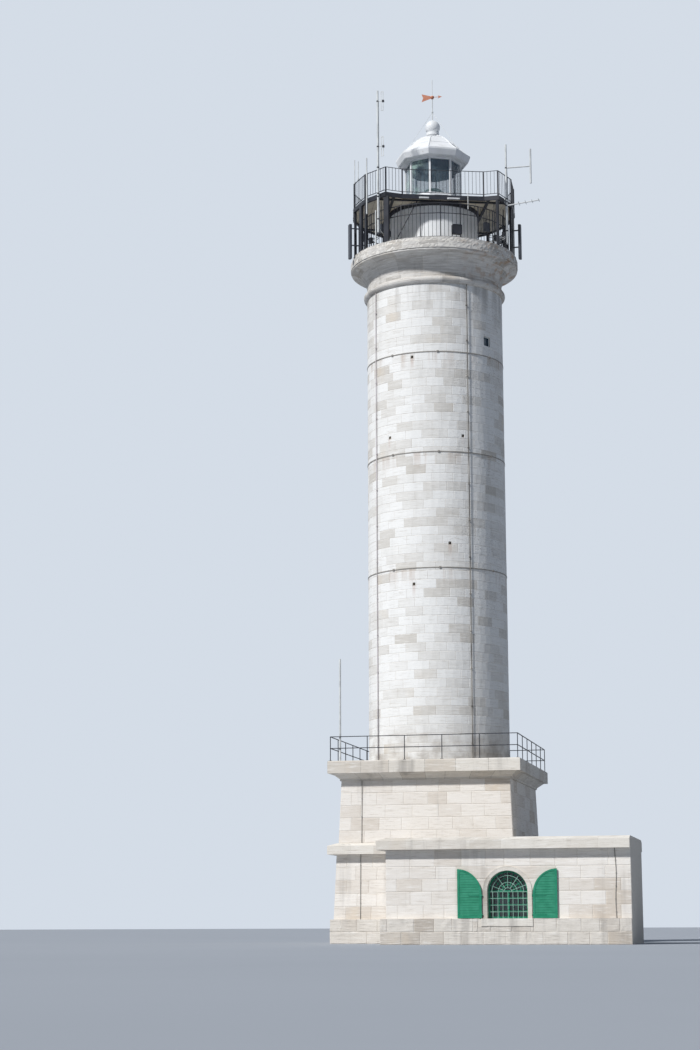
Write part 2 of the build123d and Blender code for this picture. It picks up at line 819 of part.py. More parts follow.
def upper_deck():
    outline = prism(deck_points(deck_radius), deck_bottom, deck_top)
    inner = (deck_radius - deck_edge) / deck_radius
    hollow = prism(scaled(deck_points(deck_radius), inner), deck_bottom - 1, deck_top - deck_plate)
    frame = outline - hollow + (beam_grid() & outline)
    hole = drum_radius + deck_hole_gap
    ring = tube(hole + ring_beam_width, hole, deck_bottom - ring_beam_drop, deck_top - deck_plate)
    return frame - tube(hole, 0, deck_bottom - 1, deck_top + 1) + ring


def deck_soffit():
    """Boards between the beams, under the deck's plate."""
    z0 = deck_bottom + soffit_rise
    inner = (deck_radius - deck_edge) / deck_radius
    plate = prism(scaled(deck_points(deck_radius), inner), z0, z0 + soffit_thickness)
    hole = drum_radius + deck_hole_gap + ring_beam_width
    boards = plate - beam_grid() - tube(hole, 0, z0 - 1, z0 + soffit_thickness + 1)
    return list(boards.solids())


def deck_brace():
    x = brace_head * cos(radians(front_middle)) + deck_beam_offset * sin(radians(front_middle))
    y = brace_head * sin(radians(front_middle)) - deck_beam_offset * cos(radians(front_middle))
    foot = place(*brace_foot)
    more = 0.04                     # past both ends, before they are cut flat
    start = (x + (x - foot[0]) * more, y + (y - foot[1]) * more, deck_bottom + deck_height * more)
    end = (foot[0] - (x - foot[0]) * more, foot[1] - (y - foot[1]) * more, gallery_top - deck_height * more)
    brace = rod_between(start, end, brace_radius)
    return brace & block(-beyond, beyond, -beyond, beyond, gallery_top, deck_bottom)


def upper_gallery_railing():
    points = deck_points(deck_radius - upper_rail_inset)
    counts = []
    for i, start in enumerate(points):
        end = points[(i + 1) % len(points)]
        length = ((end[0] - start[0]) ** 2 + (end[1] - start[1]) ** 2) ** 0.5
        counts.append(round(length / upper_rail_spacing) - 1)
    return railing(points, deck_top, upper_rail_height, [upper_rail_level], upper_rail_bar,
                   upper_rail_post, upper_baluster, counts)


def octagon(radius, z):
    points = [place(radius, lantern_turn + 45 * k) for k in range(8)]
    return Pos(0, 0, z) * ring_plan(points)


def octagon_ring(outer, inner, z0, z1):
    body = extrude(octagon(outer, z0), amount=z1 - z0)
    return body - extrude(octagon(inner, z0 - 1), amount=z1 - z0 + 2)


def lantern_wall_ring():
    return octagon_ring(lantern_radius, lantern_radius - lantern_wall, lantern_floor_top, glazing_bottom)


def lantern_frame():
    low = octagon_ring(lantern_radius, lantern_radius - mullion, glazing_bottom, glazing_bottom + mullion)
    high = octagon_ring(lantern_radius, lantern_radius - mullion, eave_bottom - mullion, eave_bottom)
    frame = low + high
    for k in range(8):
        x, y = place(lantern_radius - mullion * 0.6, lantern_turn + 45 * k)
        frame += Pos(x, y, glazing_bottom + glazing_height / 2) * Rot(0, 0, lantern_turn + 45 * k) * Box(
            mullion, mullion, glazing_height)
    return frame


def lantern_glass():
    panes = []
    middle = lantern_radius * cos(radians(22.5)) - mullion / 2
    half = lantern_radius * sin(radians(22.5)) - mullion
    for k in range(8):
        pane = block(-half, half, -middle - glass_thickness / 2, -middle + glass_thickness / 2,
                     glazing_bottom + mullion, eave_bottom - mullion)
        panes.append(around(pane, lantern_turn + 22.5 + 45 * k))
    return panes


def lantern_lens():
    """A foot, and a drum of glass rings with a crown of falling steps."""
    low = lantern_floor_top + lens_foot_height
    outline = [(0, lantern_floor_top), (lens_foot_radius, lantern_floor_top), (lens_foot_radius, low)]
    step = lens_height / lens_rings
    for k in range(lens_rings):
        outline += [(lens_radius - lens_groove, low + k * step), (lens_radius, low + (k + 0.7) * step)]
    high = low + lens_height
    outline += [(lens_radius - lens_groove, high), (lens_radius * 0.62, high + lens_crown * 0.75),
                (lens_radius * 0.25, high + lens_crown), (0, high + lens_crown)]
    return turned(outline)


def lantern_ceiling():
    """The dark lining under the roof, with a blind hanging from it round the far side."""
    inner = lantern_radius - 2 * mullion
    plate = extrude(octagon(inner, eave_bottom), amount=ceiling_thickness)
    reach = inner - blind_thickness
    band = octagon_ring(reach, reach - blind_thickness, eave_bottom - blind_height, eave_bottom)
    far = around(block(-beyond, beyond, 0, beyond, 0, rod_top), lantern_turn)
    return plate + (band & far)


def roof_eave():
    """The gutter, drawn in below a plain lip."""
    lip = eave_top - eave_lip_height
    inner = lantern_radius - 2 * mullion
    gutter = octagon_ring(eave_radius, inner, lip, eave_top)
    skirt = loft([octagon(eave_foot_radius, eave_bottom), octagon(eave_radius, lip)], ruled=True)
    return gutter + (skirt - extrude(octagon(inner, eave_bottom - 1), amount=eave_height + 2))


def dome_body(inset, drop):
    """The eight-sided roof, lofted ring by ring, or its inside."""
    steps = [(max(radius - inset, 1), eave_top + rise - (drop if rise else 0)) for radius, rise in dome_steps]
    body = None
    for low, high in zip(steps, steps[1:]):
        piece = loft([octagon(low[0], low[1]), octagon(high[0], high[1])], ruled=True)
        body = piece if body is None else body + piece
    return body


def roof_dome():
    body = dome_body(0, 0) - dome_body(dome_shell * 2, dome_shell)
    ribs = []
    for k in range(8):
        azimuth = lantern_turn + 45 * k
        for low, high in zip(dome_steps, dome_steps[1:]):
            start = (*place(low[0], azimuth), eave_top + low[1])
            end = (*place(high[0], azimuth), eave_top + high[1])
            ribs.append(rod_between(start, end, rib_radius, 6))
    inside = block(-beyond, beyond, -beyond, beyond, eave_top, dome_top)
    cover = body.fuse(*ribs) & inside
    return cover - dome_body(dome_shell * 2, dome_shell)


def roof_vent():
    low = dome_top + neck_rise
    outer = tube(neck_radius, 0, dome_top, low) + tube(collar_radius, 0, low, collar_top)
    outer += Pos(0, 0, ball_middle) * Sphere(ball_radius)
    bore = tube(neck_radius - ball_shell, 0, dome_top - 1, ball_middle)
    return outer - bore - Pos(0, 0, ball_middle) * Sphere(ball_radius - ball_shell)


def lightning_rod():
    """The rod on the ball, with a collar and three stays down to the roof."""
    foot = ball_middle + ball_radius
    rod = tube(rod_radius, 0, foot, rod_top)
    level = rod_top - stay_drop
    rod += tube(rod_radius * 2, 0, level - rod_radius, level + rod_radius)
    low, high = dome_steps[1], dome_steps[2]
    dome = dome_body(0, 0)
    for azimuth in stay_azimuths:
        off_middle = (azimuth - lantern_turn) % 45 - 22.5
        corner = stay_reach * cos(radians(off_middle)) / cos(radians(22.5))
        z = eave_top + low[1] + (high[1] - low[1]) * (corner - low[0]) / (high[0] - low[0])
        x, y = place(stay_reach, azimuth)
        start = (x * 1.03, y * 1.03, z - (level - z) * 0.03)
        rod += rod_between(start, (0, 0, level), stay_radius, 6) - dome
    return rod - Pos(0, 0, ball_middle) * Sphere(ball_radius)


def weather_vane():
    """A ball that turns on the rod, with the tip above it, a forked tail and an arrow."""
    low = rod_top + fit
    z = low + vane_ball
    ball = Pos(0, 0, z) * Sphere(vane_ball) & block(-vane_ball, vane_ball, -vane_ball, vane_ball, low, z + vane_ball)
    hub = tube(vane_ball * 0.5, 0, low, z)
    tip = tube(tip_radius, 0, z, z + tip_length)
    tail = [(-vane_ball * 0.6, z - vane_tail_height * 0.14), (-vane_tail, z - vane_tail_height / 2),
            (-vane_tail * 0.86, z), (-vane_tail, z + vane_tail_height / 2),
            (-vane_ball * 0.6, z + vane_tail_height * 0.14)]
    arrow = [(vane_nose - arrow_length, z - arrow_height / 2), (vane_nose, z),
             (vane_nose - arrow_length, z + arrow_height / 2), (vane_nose - arrow_length * 0.75, z)]
    vane = ball + hub + tip
    for outline in (tail, arrow):
        face = make_face(Polyline(*[(x, h) for x, h in outline], close=True))
        vane += Pos(0, vane_plate / 2, 0) * extrude(Plane.XZ * face, amount=vane_plate)
    bar = block(0, vane_nose - arrow_length * 0.6, -vane_plate, vane_plate, z - vane_plate, z + vane_plate)
    return vane + bar


def clamped(side, shift, z0, z1, radius):
    """An upright tube clamped to a side of the deck next to the long front: side -1 is left of it, 1 is right."""
    azimuth = side_azimuth(side)
    middle = -side_offset - mast_standoff - radius
    mast = Pos(shift, middle, (z0 + z1) / 2) * Cylinder(radius, z1 - z0)
    for z in (deck_bottom + clamp_height / 2, deck_top - clamp_height / 2):
        mast += block(shift - radius / 2, shift + radius / 2, middle, -side_offset,
                      z - clamp_height / 2, z + clamp_height / 2)
    return around(mast, azimuth)


def side_azimuth(side):
    return deck_front[0] - side_step / 2 if side < 0 else deck_front[1] + side_step / 2


def mast_place(side, shift, radius):
    """Plan position of a mast's axis."""
    azimuth = radians(side_azimuth(side))
    middle = -side_offset - mast_standoff - radius
    return shift * cos(azimuth) - middle * sin(azimuth), shift * sin(azimuth) + middle * cos(azimuth)


def folded_dipole(x, y, z, arm_x):
    """A flat loop of rod beside a mast, with an arm back to it."""
    half, width = dipole_length / 2, dipole_width / 2
    pieces = [
        block(x - width - dipole_rod, x - width + dipole_rod, y - dipole_rod, y + dipole_rod, z - half, z + half),
        block(x + width - dipole_rod, x + width + dipole_rod, y - dipole_rod, y + dipole_rod, z - half, z + half),
        block(x - width, x + width, y - dipole_rod, y + dipole_rod, z - half, z - half + 2 * dipole_rod),
        block(x - width, x + width, y - dipole_rod, y + dipole_rod, z + half - 2 * dipole_rod, z + half),
        block(x + width - 3 * dipole_rod, x + width + 3 * dipole_rod, y - 3 * dipole_rod, y + 3 * dipole_rod,
              z - 3 * dipole_rod, z + 3 * dipole_rod),
        block(arm_x, x + width, y - dipole_rod, y + dipole_rod, z - dipole_rod, z + dipole_rod),
    ]
    return pieces[0].fuse(*pieces[1:])


def left_mast():
    mast = clamped(-1, left_mast_shift, deck_bottom - left_mast_below, deck_top + left_mast_above, mast_radius)
    x, y = mast_place(-1, left_mast_shift, mast_radius)
    for level in dipole_levels:
        mast += folded_dipole(x + dipole_arm, y, deck_top + level, x)
    return mast


def right_mast():
    mast = clamped(1, right_mast_shift, deck_bottom - right_mast_below, deck_top + right_mast_above, mast_radius)
    x, y = mast_place(1, right_mast_shift, mast_radius)
    z = deck_top + boom_level
    mast += rod_between((x, y, z), (x + boom_length, y, z), mast_radius * 0.75, 8)
    mast += Pos(x + boom_length, y, z) * Cylinder(mast_radius, boom_dipole)
    z = deck_top + yagi_level
    end = z + yagi_length * tan(radians(yagi_rise))
    mast += rod_between((x, y, z), (x + yagi_length, y, end), mast_radius * 0.65, 8)
    for k, span in enumerate(yagi_spans):
        t = (k + 1.9) / (len(yagi_spans) + 1)
        mast += rod_between((x + yagi_length * t, y - span / 2, z + (end - z) * t),
                            (x + yagi_length * t, y + span / 2, z + (end - z) * t), dipole_rod, 6)
    return mast


def whip_aerials():
    pieces = [clamped(-1, pole_shift, deck_bottom - pole_below, deck_top + pole_above, pole_radius)]
    for azimuth, length in whips:
        reach = rail_reach(azimuth)
        x, y = place(reach, azimuth)
        z = deck_top + upper_rail_height
        whip = Pos(x, y, z + length / 2) * Cylinder(whip_radius, length)
        pieces.append(whip + Pos(x, y, z + whip_radius * 3) * Cylinder(whip_radius * 1.8, whip_radius * 6))
    x, y = place(front_edge / cos(radians(drop_rod_azimuth - front_middle)), drop_rod_azimuth)
    out = place(whip_radius, front_middle)
    top = deck_top + drop_rod_rise
    rod = Pos(x + out[0], y + out[1], top - drop_rod_length / 2) * Cylinder(whip_radius, drop_rod_length)
    front = around(block(-beyond, beyond, -front_edge, beyond, 0, rod_top), front_middle)
    pieces.append(rod - front)
    x, y = place(stub_radius, stub_azimuth)
    pieces.append(Pos(x, y, gallery_top + stub_height / 2) * Cylinder(stub_thickness, stub_height))
    return pieces


def rail_reach(azimuth):
    """Distance of the upper railing from the axis at an azimuth on the short sides."""
    offset = (deck_radius - upper_rail_inset) * cos(radians(side_step / 2))
    nearest = (azimuth - deck_front[1] - side_step / 2) % side_step
    nearest = min(nearest, side_step - nearest)
    return offset / cos(radians(nearest))


def panel_aerials():
    """Flat aerials outside the lower gallery, on arms that reach out from its railing."""
    pieces = []
    for azimuth in panel_azimuths:
        z0 = gallery_top + panel_low
        panel = block(-panel_width / 2, panel_width / 2, -panel_radius - panel_depth, -panel_radius,
                      z0, z0 + panel_height)
        panel = chamfer(panel.edges().filter_by(Axis.Z), panel_depth / 4)
        post = rail_post_azimuth(azimuth) - azimuth
        foot = place(lower_rail_radius + rail_post / 2, post)
        for level in panel_arm_levels:
            z = gallery_top + level
            panel += block(foot[0] - panel_arm / 2, foot[0] + panel_arm / 2, -panel_radius - 1, foot[1],
                           z - panel_arm / 2, z + panel_arm / 2)
        panel += block(foot[0] - panel_arm, foot[0] + panel_arm, foot[1] - 8, foot[1],
                       gallery_top + panel_arm_levels[0], gallery_top + panel_arm_levels[1])
        fitted = around(panel, azimuth) - post_envelope()
        for duct in deck_posts()[-len(duct_azimuths):]:
            fitted -= duct
        pieces.append(fitted.solids().sort_by(SortBy.VOLUME)[-1])   # an arm ends at what it meets first
    return pieces


def rail_post_azimuth(azimuth):
    step = 360 / lower_rail_sides
    return round(azimuth / step) * step


def post_envelope():
    """The lower railing's posts and rails as one closed ring, to cut what seats on it."""
    points = [place(lower_rail_radius, k * 360 / lower_rail_sides) for k in range(lower_rail_sides)]
    radius = lower_rail_radius
    ring = prism(scaled(points, (radius + rail_bar / 2) / radius), gallery_top, gallery_top + lower_rail_height)
    for k, (x, y) in enumerate(points):
        ring += Pos(x, y, gallery_top + lower_rail_height / 2) * Rot(
            0, 0, (k + 0.5) * 360 / lower_rail_sides) * Box(rail_post, rail_post, lower_rail_height)
    return ring


def floodlight():
    """A lamp on a stirrup, standing on the slab in front of the railing."""
    z0 = gallery_top + flood_stand
    half = flood_width / 2
    box = block(-half, half, -flood_radius - flood_depth / 2, -flood_radius + flood_depth / 2, z0, z0 + flood_height)
    box = chamfer(box.edges().filter_by(Axis.Y), flood_width / 12)
    face = block(-half + 25, half - 25, -flood_radius - flood_depth, -flood_radius - flood_depth / 2 + 12,
                 z0 + 25, z0 + flood_height - 25)
    lamp = box - face
    for k in range(flood_fins):
        x = -half + (k + 1) * flood_width / (flood_fins + 1)
        lamp += block(x - 4, x + 4, -flood_radius - 20, -flood_radius + flood_depth / 2 + 12,
                      z0 + 40, z0 + flood_height - 40) - box
    for side in (-1, 1):
        x = side * (half + 6)
        lamp += block(x - 6, x + 6, -flood_radius - 25, -flood_radius + 25, gallery_top, z0 + flood_height / 2)
    lamp += block(-half - 12, half + 12, -flood_radius - 25, -flood_radius + 25, gallery_top, gallery_top + 12)
    return around(lamp, flood_azimuth)


def deck_lamps():
    """Strip lights on the face of the deck's front beam and one on top of it."""
    rows = [(middle, length, -front_edge, deck_bottom + lamp_seat) for middle, length in lamp_places]
    rows.append((*upper_lamp, -front_edge + lamp_depth, deck_top))
    lamps = []
    for middle, length, back, z0 in rows:
        tray = block(middle - length / 2, middle + length / 2, back - lamp_depth / 2, back, z0, z0 + lamp_height)
        tray += Pos(middle, back - lamp_depth / 2, z0 + lamp_height / 2) * Rot(0, 90, 0) * Cylinder(
            lamp_height * 0.38, length - lamp_height)
        lamps.append(around(tray, front_middle))
    return lamps


shaft_joints = (floor_thickness + lower_drum_height, floor_thickness + lower_drum_height + middle_drum_height)
lower = lower_storey()
upper = upper_storey()

nodes = {
    "ground_floor": ground_floor(),
    "lower_front_wall": wall_quarter(lower, "front"),
    "lower_back_wall": wall_quarter(lower, "back"),
    "lower_left_wall": wall_quarter(lower, "left"),
    "lower_right_wall": wall_quarter(lower, "right"),
    "string_course": string_course(),
    "upper_front_wall": wall_quarter(upper, "front"),
    "upper_back_wall": wall_quarter(upper, "back"),
    "upper_left_wall": wall_quarter(upper, "left"),
    "upper_right_wall": wall_quarter(upper, "right"),
    "terrace_slab": terrace_slab(),
    "terrace_railing": terrace_railing(),
    "terrace_mast": terrace_mast(),
    "wing_front_wall": wing_front_wall(),
    "wing_left_wall": wing_left_wall(),
    "wing_right_wall": wing_right_wall(),
    "wing_back_wall": wing_back_wall(),
    "wing_roof": wing_roof(),
    "window_surround": window_surround(),
    "window_sill": window_sill(),
    "window_frame": window_frame(),
    "window_glass": window_glass(),
    "window_grille": window_grille(),
    "left_shutter": shutter_leaf(-1),
    "right_shutter": shutter_leaf(1),
    "shutter_pintles": shutter_pintles(),
    "shaft_lower": shaft_piece(floor_thickness, shaft_joints[0]),
    "shaft_middle": shaft_piece(shaft_joints[0], shaft_joints[1]),
    "shaft_upper": shaft_piece(shaft_joints[1], shaft_top) - shaft_window_hole(),
    "shaft_window": shaft_window(),
    "shaft_hoops": shaft_hoops(),
    "conductors": conductors(),
    "capital": capital(),
    "gallery_slab": gallery_slab(),
    "lower_gallery_railing": lower_gallery_railing(),
    "service_drum": service_drum(),
    "lantern_floor": lantern_floor(),
    "deck_posts": deck_posts() + [deck_brace()],
    "upper_deck": upper_deck(),
    "deck_soffit": deck_soffit(),
    "upper_gallery_railing": upper_gallery_railing(),
    "lantern_wall": lantern_wall_ring(),
    "lantern_frame": lantern_frame(),
    "lantern_glass": lantern_glass(),
    "lantern_lens": lantern_lens(),
    "lantern_ceiling": lantern_ceiling(),
    "roof_eave": roof_eave(),
    "roof_dome": roof_dome(),
    "roof_vent": roof_vent(),
    "lightning_rod": lightning_rod(),
    "weather_vane": weather_vane(),
    "left_mast": left_mast(),
    "right_mast": right_mast(),
    "whip_aerials": whip_aerials(),
    "panel_aerials": panel_aerials(),
    "floodlight": floodlight(),
    "deck_lamps": deck_lamps(),
}

for name, shape in nodes.items():
    if isinstance(shape, list):
        shape = Compound(children=shape)
    export_step(shape, f"parts/{name}.step")
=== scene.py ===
import json
import math

import bpy
import numpy as np
from mathutils import Matrix, Vector


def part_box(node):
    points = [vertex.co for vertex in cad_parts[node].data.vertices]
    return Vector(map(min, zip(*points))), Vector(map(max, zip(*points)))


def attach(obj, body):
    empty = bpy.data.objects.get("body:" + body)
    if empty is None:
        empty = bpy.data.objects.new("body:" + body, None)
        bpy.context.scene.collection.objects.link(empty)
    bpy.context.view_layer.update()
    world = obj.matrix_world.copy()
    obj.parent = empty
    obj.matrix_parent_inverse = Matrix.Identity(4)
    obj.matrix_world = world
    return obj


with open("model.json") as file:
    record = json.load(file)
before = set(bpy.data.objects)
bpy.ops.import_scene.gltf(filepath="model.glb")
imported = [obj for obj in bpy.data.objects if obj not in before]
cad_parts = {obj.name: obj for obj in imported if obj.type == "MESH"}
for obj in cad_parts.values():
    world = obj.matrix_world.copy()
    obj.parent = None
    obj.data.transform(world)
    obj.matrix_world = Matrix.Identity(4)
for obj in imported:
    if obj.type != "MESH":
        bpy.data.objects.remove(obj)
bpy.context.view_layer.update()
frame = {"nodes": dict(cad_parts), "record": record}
nodes = frame["nodes"]
chance = np.random.default_rng(27)


def placed(name, data):
    made = bpy.data.objects.new(name, data)
    bpy.context.collection.objects.link(made)
    return made


# The camera

view = {"place": (15.289, -88.365, 0.74), "heading": 12.2, "pitch": 10.665, "roll": -0.189075, "lens": 72.82,
        "sensor": 36, "far": 900}
lensData = bpy.data.cameras.new("camera")
lensData.lens, lensData.sensor_width, lensData.clip_end = view["lens"], view["sensor"], view["far"]
camera = placed("camera", lensData)
camera.matrix_world = Matrix.Translation(view["place"])
for degrees, axis in ((view["heading"], "Z"), (90 + view["pitch"], "X"), (view["roll"], "Z")):
    camera.matrix_world @= Matrix.Rotation(math.radians(degrees), 4, axis)
bpy.context.scene.camera = camera
print("camera")


# Shader sums

class Wire:
    # A shader socket that takes part in sums with numbers and other sockets
    def __init__(self, finish, socket):
        self.finish, self.socket = finish, socket

    def sum(self, operation, *others):
        return self.finish.node("Math", {"operation": operation}, dict(enumerate((self, *others))))

    def __add__(self, other):
        return self.sum("ADD", other)

    def __sub__(self, other):
        return self.sum("SUBTRACT", other)

    def __rsub__(self, other):
        return self.finish.node("Math", {"operation": "SUBTRACT"}, {0: other, 1: self})

    def __mul__(self, other):
        return self.sum("MULTIPLY", other)

    def __mod__(self, other):
        return self.sum("FLOORED_MODULO", other)

    def size(self):
        return self.sum("ABSOLUTE")

    def between(self, low, high):
        # 0 below low and 1 above high, smooth in between; low may be the larger
        return self.finish.node("MapRange", {"interpolation_type": "SMOOTHSTEP"},
                                {"Value": self, "From Min": low, "From Max": high})


def tint(tones):
    # sRGB tones out of 255 to linear
    return tuple(((c / 255 + 0.055) / 1.055) ** 2.4 if c > 10 else c / 3294.6 for c in tones)


class Finish:
    # A material on one principled shader. Colours are sRGB tones out of 255 or wires, laid one over another.
    def __init__(self, name, specular, roughness=0.5):
        self.material = bpy.data.materials.new(name)
        self.material.use_nodes = True
        self.tree = self.material.node_tree
        self.shader = self.tree.nodes["Principled BSDF"]
        self.shader.inputs["Specular IOR Level"].default_value = specular
        self.shader.inputs["Roughness"].default_value = roughness
        self.coords = self.node("TexCoord", {}, {}, "Object")
        parts = self.node("SeparateXYZ", {}, {"Vector": self.coords})
        self.x, self.y, self.z = (Wire(self, socket) for socket in parts.socket.node.outputs)

    def node(self, kind, settings, sockets, out=0):
        made = self.tree.nodes.new("ShaderNode" + kind)
        for key, value in settings.items():
            setattr(made, key, value)
        for key, value in sockets.items():
            if isinstance(value, Wire):
                self.tree.links.new(value.socket, made.inputs[key])
            else:
                made.inputs[key].default_value = value
        return Wire(self, made.outputs[out])

    def noise(self, scale, detail=3, stretch=(1, 1, 1), rough=0.55):
        place = self.node("VectorMath", {"operation": "MULTIPLY"}, {0: self.coords, 1: stretch})
        return self.node("TexNoise", {}, {"Vector": place, "Scale": scale, "Detail": detail,
                                          "Roughness": rough})

    def mix(self, share, first, second):
        pair = [colour if isinstance(colour, Wire) else (*tint(colour), 1) for colour in (first, second)]
        return self.node("Mix", {"data_type": "RGBA"}, {0: share, 6: pair[0], 7: pair[1]}, 2)

    def clouds(self, noise, first, second):
        # Starts the colour with two tones that drift into each other
        self.colour = self.mix(noise.between(0.3, 0.7), first, second)

    def over(self, share, colour):
        # Lays one more tone over the colour
        self.colour = self.mix(share, self.colour, colour)

    def done(self, roughness=None, bump=None, depth=0.01, alpha=None):
        for socket, value in (("Base Color", self.colour), ("Roughness", roughness), ("Alpha", alpha)):
            if value is not None:
                self.tree.links.new(value.socket, self.shader.inputs[socket])
        if bump is not None:
            normal = self.node("Bump", {}, {"Height": bump, "Distance": depth})
            self.tree.links.new(normal.socket, self.shader.inputs["Normal"])
        return self.material


# Stone

shaft = {"foot": 2.96, "top": 2.932, "height": 27.5, "mean": 2.95, "course": 0.374, "around": 21,
         "putlog": 0.12, "holes": ((-9.5, 24.31), (-31.4, 20.95), (32.5, 20.88), (-9.5, 14.6), (20.3, 16.29)),
         "slit": (59, 25.18, 0.42), "hoops": (15.27, 20.18, 24.5), "joint": 0.008}


class StoneFinish(Finish):
    # Blocks of different tones under clouds, fine grain, chisel lines and dark runs down the face
    def __init__(self, name, pale, deep, stain, streaks, depth=0.006):
        super().__init__(name, 0.25)
        tone = self.node("Attribute", {"attribute_name": "tone"}, {}, "Fac")
        cloud = self.noise(0.3, 4)
        patch = self.noise(2.6, 4, (1, 1, 1.6))
        grain = self.noise(12, 5, rough=0.7)
        chisel = self.noise(2.4, 4, (0.7, 0.7, 9), 0.65)
        mixed = tone * 1.15 + cloud * 0.7 + patch * 0.35 - 0.62
        self.colour = self.mix(mixed.between(0.05, 1.05), pale, deep)
        self.over((grain - 0.5).size().between(0.03, 0.3) * 0.3, stain)
        self.over(chisel.between(0.53, 0.68) * 0.5, (252, 249, 244))
        self.over(chisel.between(0.46, 0.32) * 0.42, stain)
        warm = self.noise(0.8, 3, (1, 1, 0.5)).between(0.52, 0.75) * tone.between(0.35, 0.8)
        self.over(warm * 0.45, (222, 206, 184))
        runs = self.noise(2.2, 4, (1, 1, 0.08)) * 0.75 + cloud * 0.35
        self.over(runs.between(0.58, 0.80) * streaks, (112, 108, 104))
        self.grain, self.depth = grain + chisel * 2, depth
        self.relief = self.grain * 0.6 + self.noise(45, 3) * 0.5

    def done(self):
        return super().done(self.grain * 0.25 + 0.7, self.relief, self.depth)


def shaftStone():
    # Pale, browner at the foot, with dark runs at the top, and rust below hoops and putlog holes
    finish = StoneFinish("shaftStone", (244, 243, 240), (211, 206, 198), (198, 190, 178), 0.1)
    reach = finish.noise(3.5, 3, (1, 1, 0.05))
    for hoop in shaft["hoops"]:
        below = hoop - finish.z
        wet = below.between(0.0, 0.04) * below.between(0.9, 0.05) * reach.between(0.46, 0.72)
        finish.over(wet * 0.35, (166, 132, 104))
    for azimuth, hole in shaft["holes"]:
        below = hole - finish.z
        side = (finish.x - shaft["mean"] * math.sin(math.radians(azimuth))).size().between(0.1, 0.03)
        wet = below.between(0.0, 0.06) * below.between(0.7, 0.05) * side * finish.y.between(0.0, -0.5)
        finish.over(wet * reach.between(0.35, 0.6) * 0.3, (176, 132, 108))
    low = finish.z.between(9.5, 7.3) * finish.noise(1.6, 4).between(0.35, 0.7)
    finish.over(low * 0.55, (150, 138, 124))
    high = finish.z.between(25.6, 27.6) * finish.noise(2.0, 4, (1, 1, 0.12)).between(0.42, 0.7)
    finish.over(high * 0.5, (120, 113, 105))
    # Crusts and pits round the right-hand strip, in relief; their white specks are partly painted highlight
    # and their dark specks partly painted shade, of light grazing the rough face
    glintsAndPits = finish.noise(13, 4, (1, 1, 1.5), 0.7)
    rough = finish.x.between(0.5, 1.9) * finish.noise(0.7, 3).between(0.36, 0.6) * finish.z.between(9.0, 16.0)
    # Partly painted light: white specks as highlights, dark specks as shade in the pits
    finish.over(glintsAndPits.between(0.55, 0.68) * rough * 0.6, (246, 245, 242))
    finish.over(glintsAndPits.between(0.45, 0.34) * rough * 0.55, (136, 130, 124))
    finish.relief = finish.relief + glintsAndPits * rough * 3
    return finish.done()


def capitalFinish():
    # Greyer, cooler stone than the rest, partly as painted shade of the hollow under the slab, in level bands,
    # with ochre growth at the right and less of it at the left
    # The greyer, cooler tones are partly painted shade
    finish = StoneFinish("capitalStone", (218, 214, 208), (180, 176, 170), (152, 142, 130), 0.6)
    bands = finish.noise(3.0, 4, (0.25, 0.25, 5)).between(0.5, 0.72)
    finish.over(bands * 0.4, (146, 136, 124))
    right = finish.x.between(1.0, 3.2) * finish.noise(2.4, 5, (1, 1, 1.4), 0.65).between(0.48, 0.66)
    finish.over(right * 0.55, (172, 128, 78))
    left = finish.x.between(-1.4, -3.2) * finish.noise(3.1, 5, (1, 1, 0.8), 0.65).between(0.5, 0.68)
    finish.over(left * 0.4, (150, 132, 96))
    return finish.done()


def mortarFinish():
    finish = Finish("mortar", 0.2)
    grain = finish.noise(26, 4, rough=0.7)
    finish.clouds(grain, (210, 203, 192), (230, 224, 214))
    return finish.done(grain * 0.2 + 0.75, grain, 0.004)


# Metal, timber and glass

def paintFinish(name, fresh, worn, rust, amount, roughness=0.45):
    # Paint faded in clouds, with small runs of rust
    finish = Finish(name, 0.4)
    runs = finish.noise(7, 5, (1, 1, 0.2), 0.7)
    fine = finish.noise(60, 3)
    finish.clouds(finish.noise(3.0, 4), fresh, worn)
    finish.over(runs.between(0.62, 0.78) * amount, rust)
    return finish.done(fine * 0.2 + roughness - 0.1, fine * 0.5 + runs, 0.0015)


def stripFinish():
    # Bare and blotched at the right; painted as pale as the stone at the left
    finish = Finish("conductorStrip", 0.3)
    cloud = finish.noise(2.2, 4, (1, 1, 0.5))
    fine = finish.noise(30, 4)
    finish.clouds(cloud, (206, 198, 200), (186, 178, 176))
    bare = finish.mix(cloud.between(0.35, 0.65), (96, 92, 88), (168, 162, 154))
    finish.over(finish.x.between(-0.5, 0.5), bare)
    return finish.done(fine * 0.2 + 0.5, fine, 0.002)


def slitFinish(paneAt=2.86):
    # Pale paint on the frame; the pane, within paneAt of the axis, is dark and glossy
    finish = Finish("slitWindow", 0.5)
    cloud = finish.noise(14, 4)
    reach = finish.x * finish.x + finish.y * finish.y
    pane = reach.between((paneAt + 0.005) ** 2, (paneAt - 0.005) ** 2)
    finish.clouds(cloud, (222, 228, 230), (196, 204, 208))
    finish.over(pane, (66, 84, 98))
    return finish.done(0.5 - pane * 0.4, cloud, 0.001)


def vaneFinish():
    # Faded orange on the plates; the slim tip is left pale
    finish = Finish("vanePaint", 0.4)
    cloud = finish.noise(9, 4)
    fine = finish.noise(60, 3)
    reach = finish.x.size() + finish.y.size()
    finish.clouds(cloud, (198, 132, 104), (182, 110, 82))
    finish.over(cloud.between(0.62, 0.76) * 0.5, (112, 74, 56))
    finish.over(reach.between(0.1, 0.09) * finish.z.between(37.06, 37.07), (222, 222, 220))
    return finish.done(fine * 0.2 + 0.35, fine, 0.001)


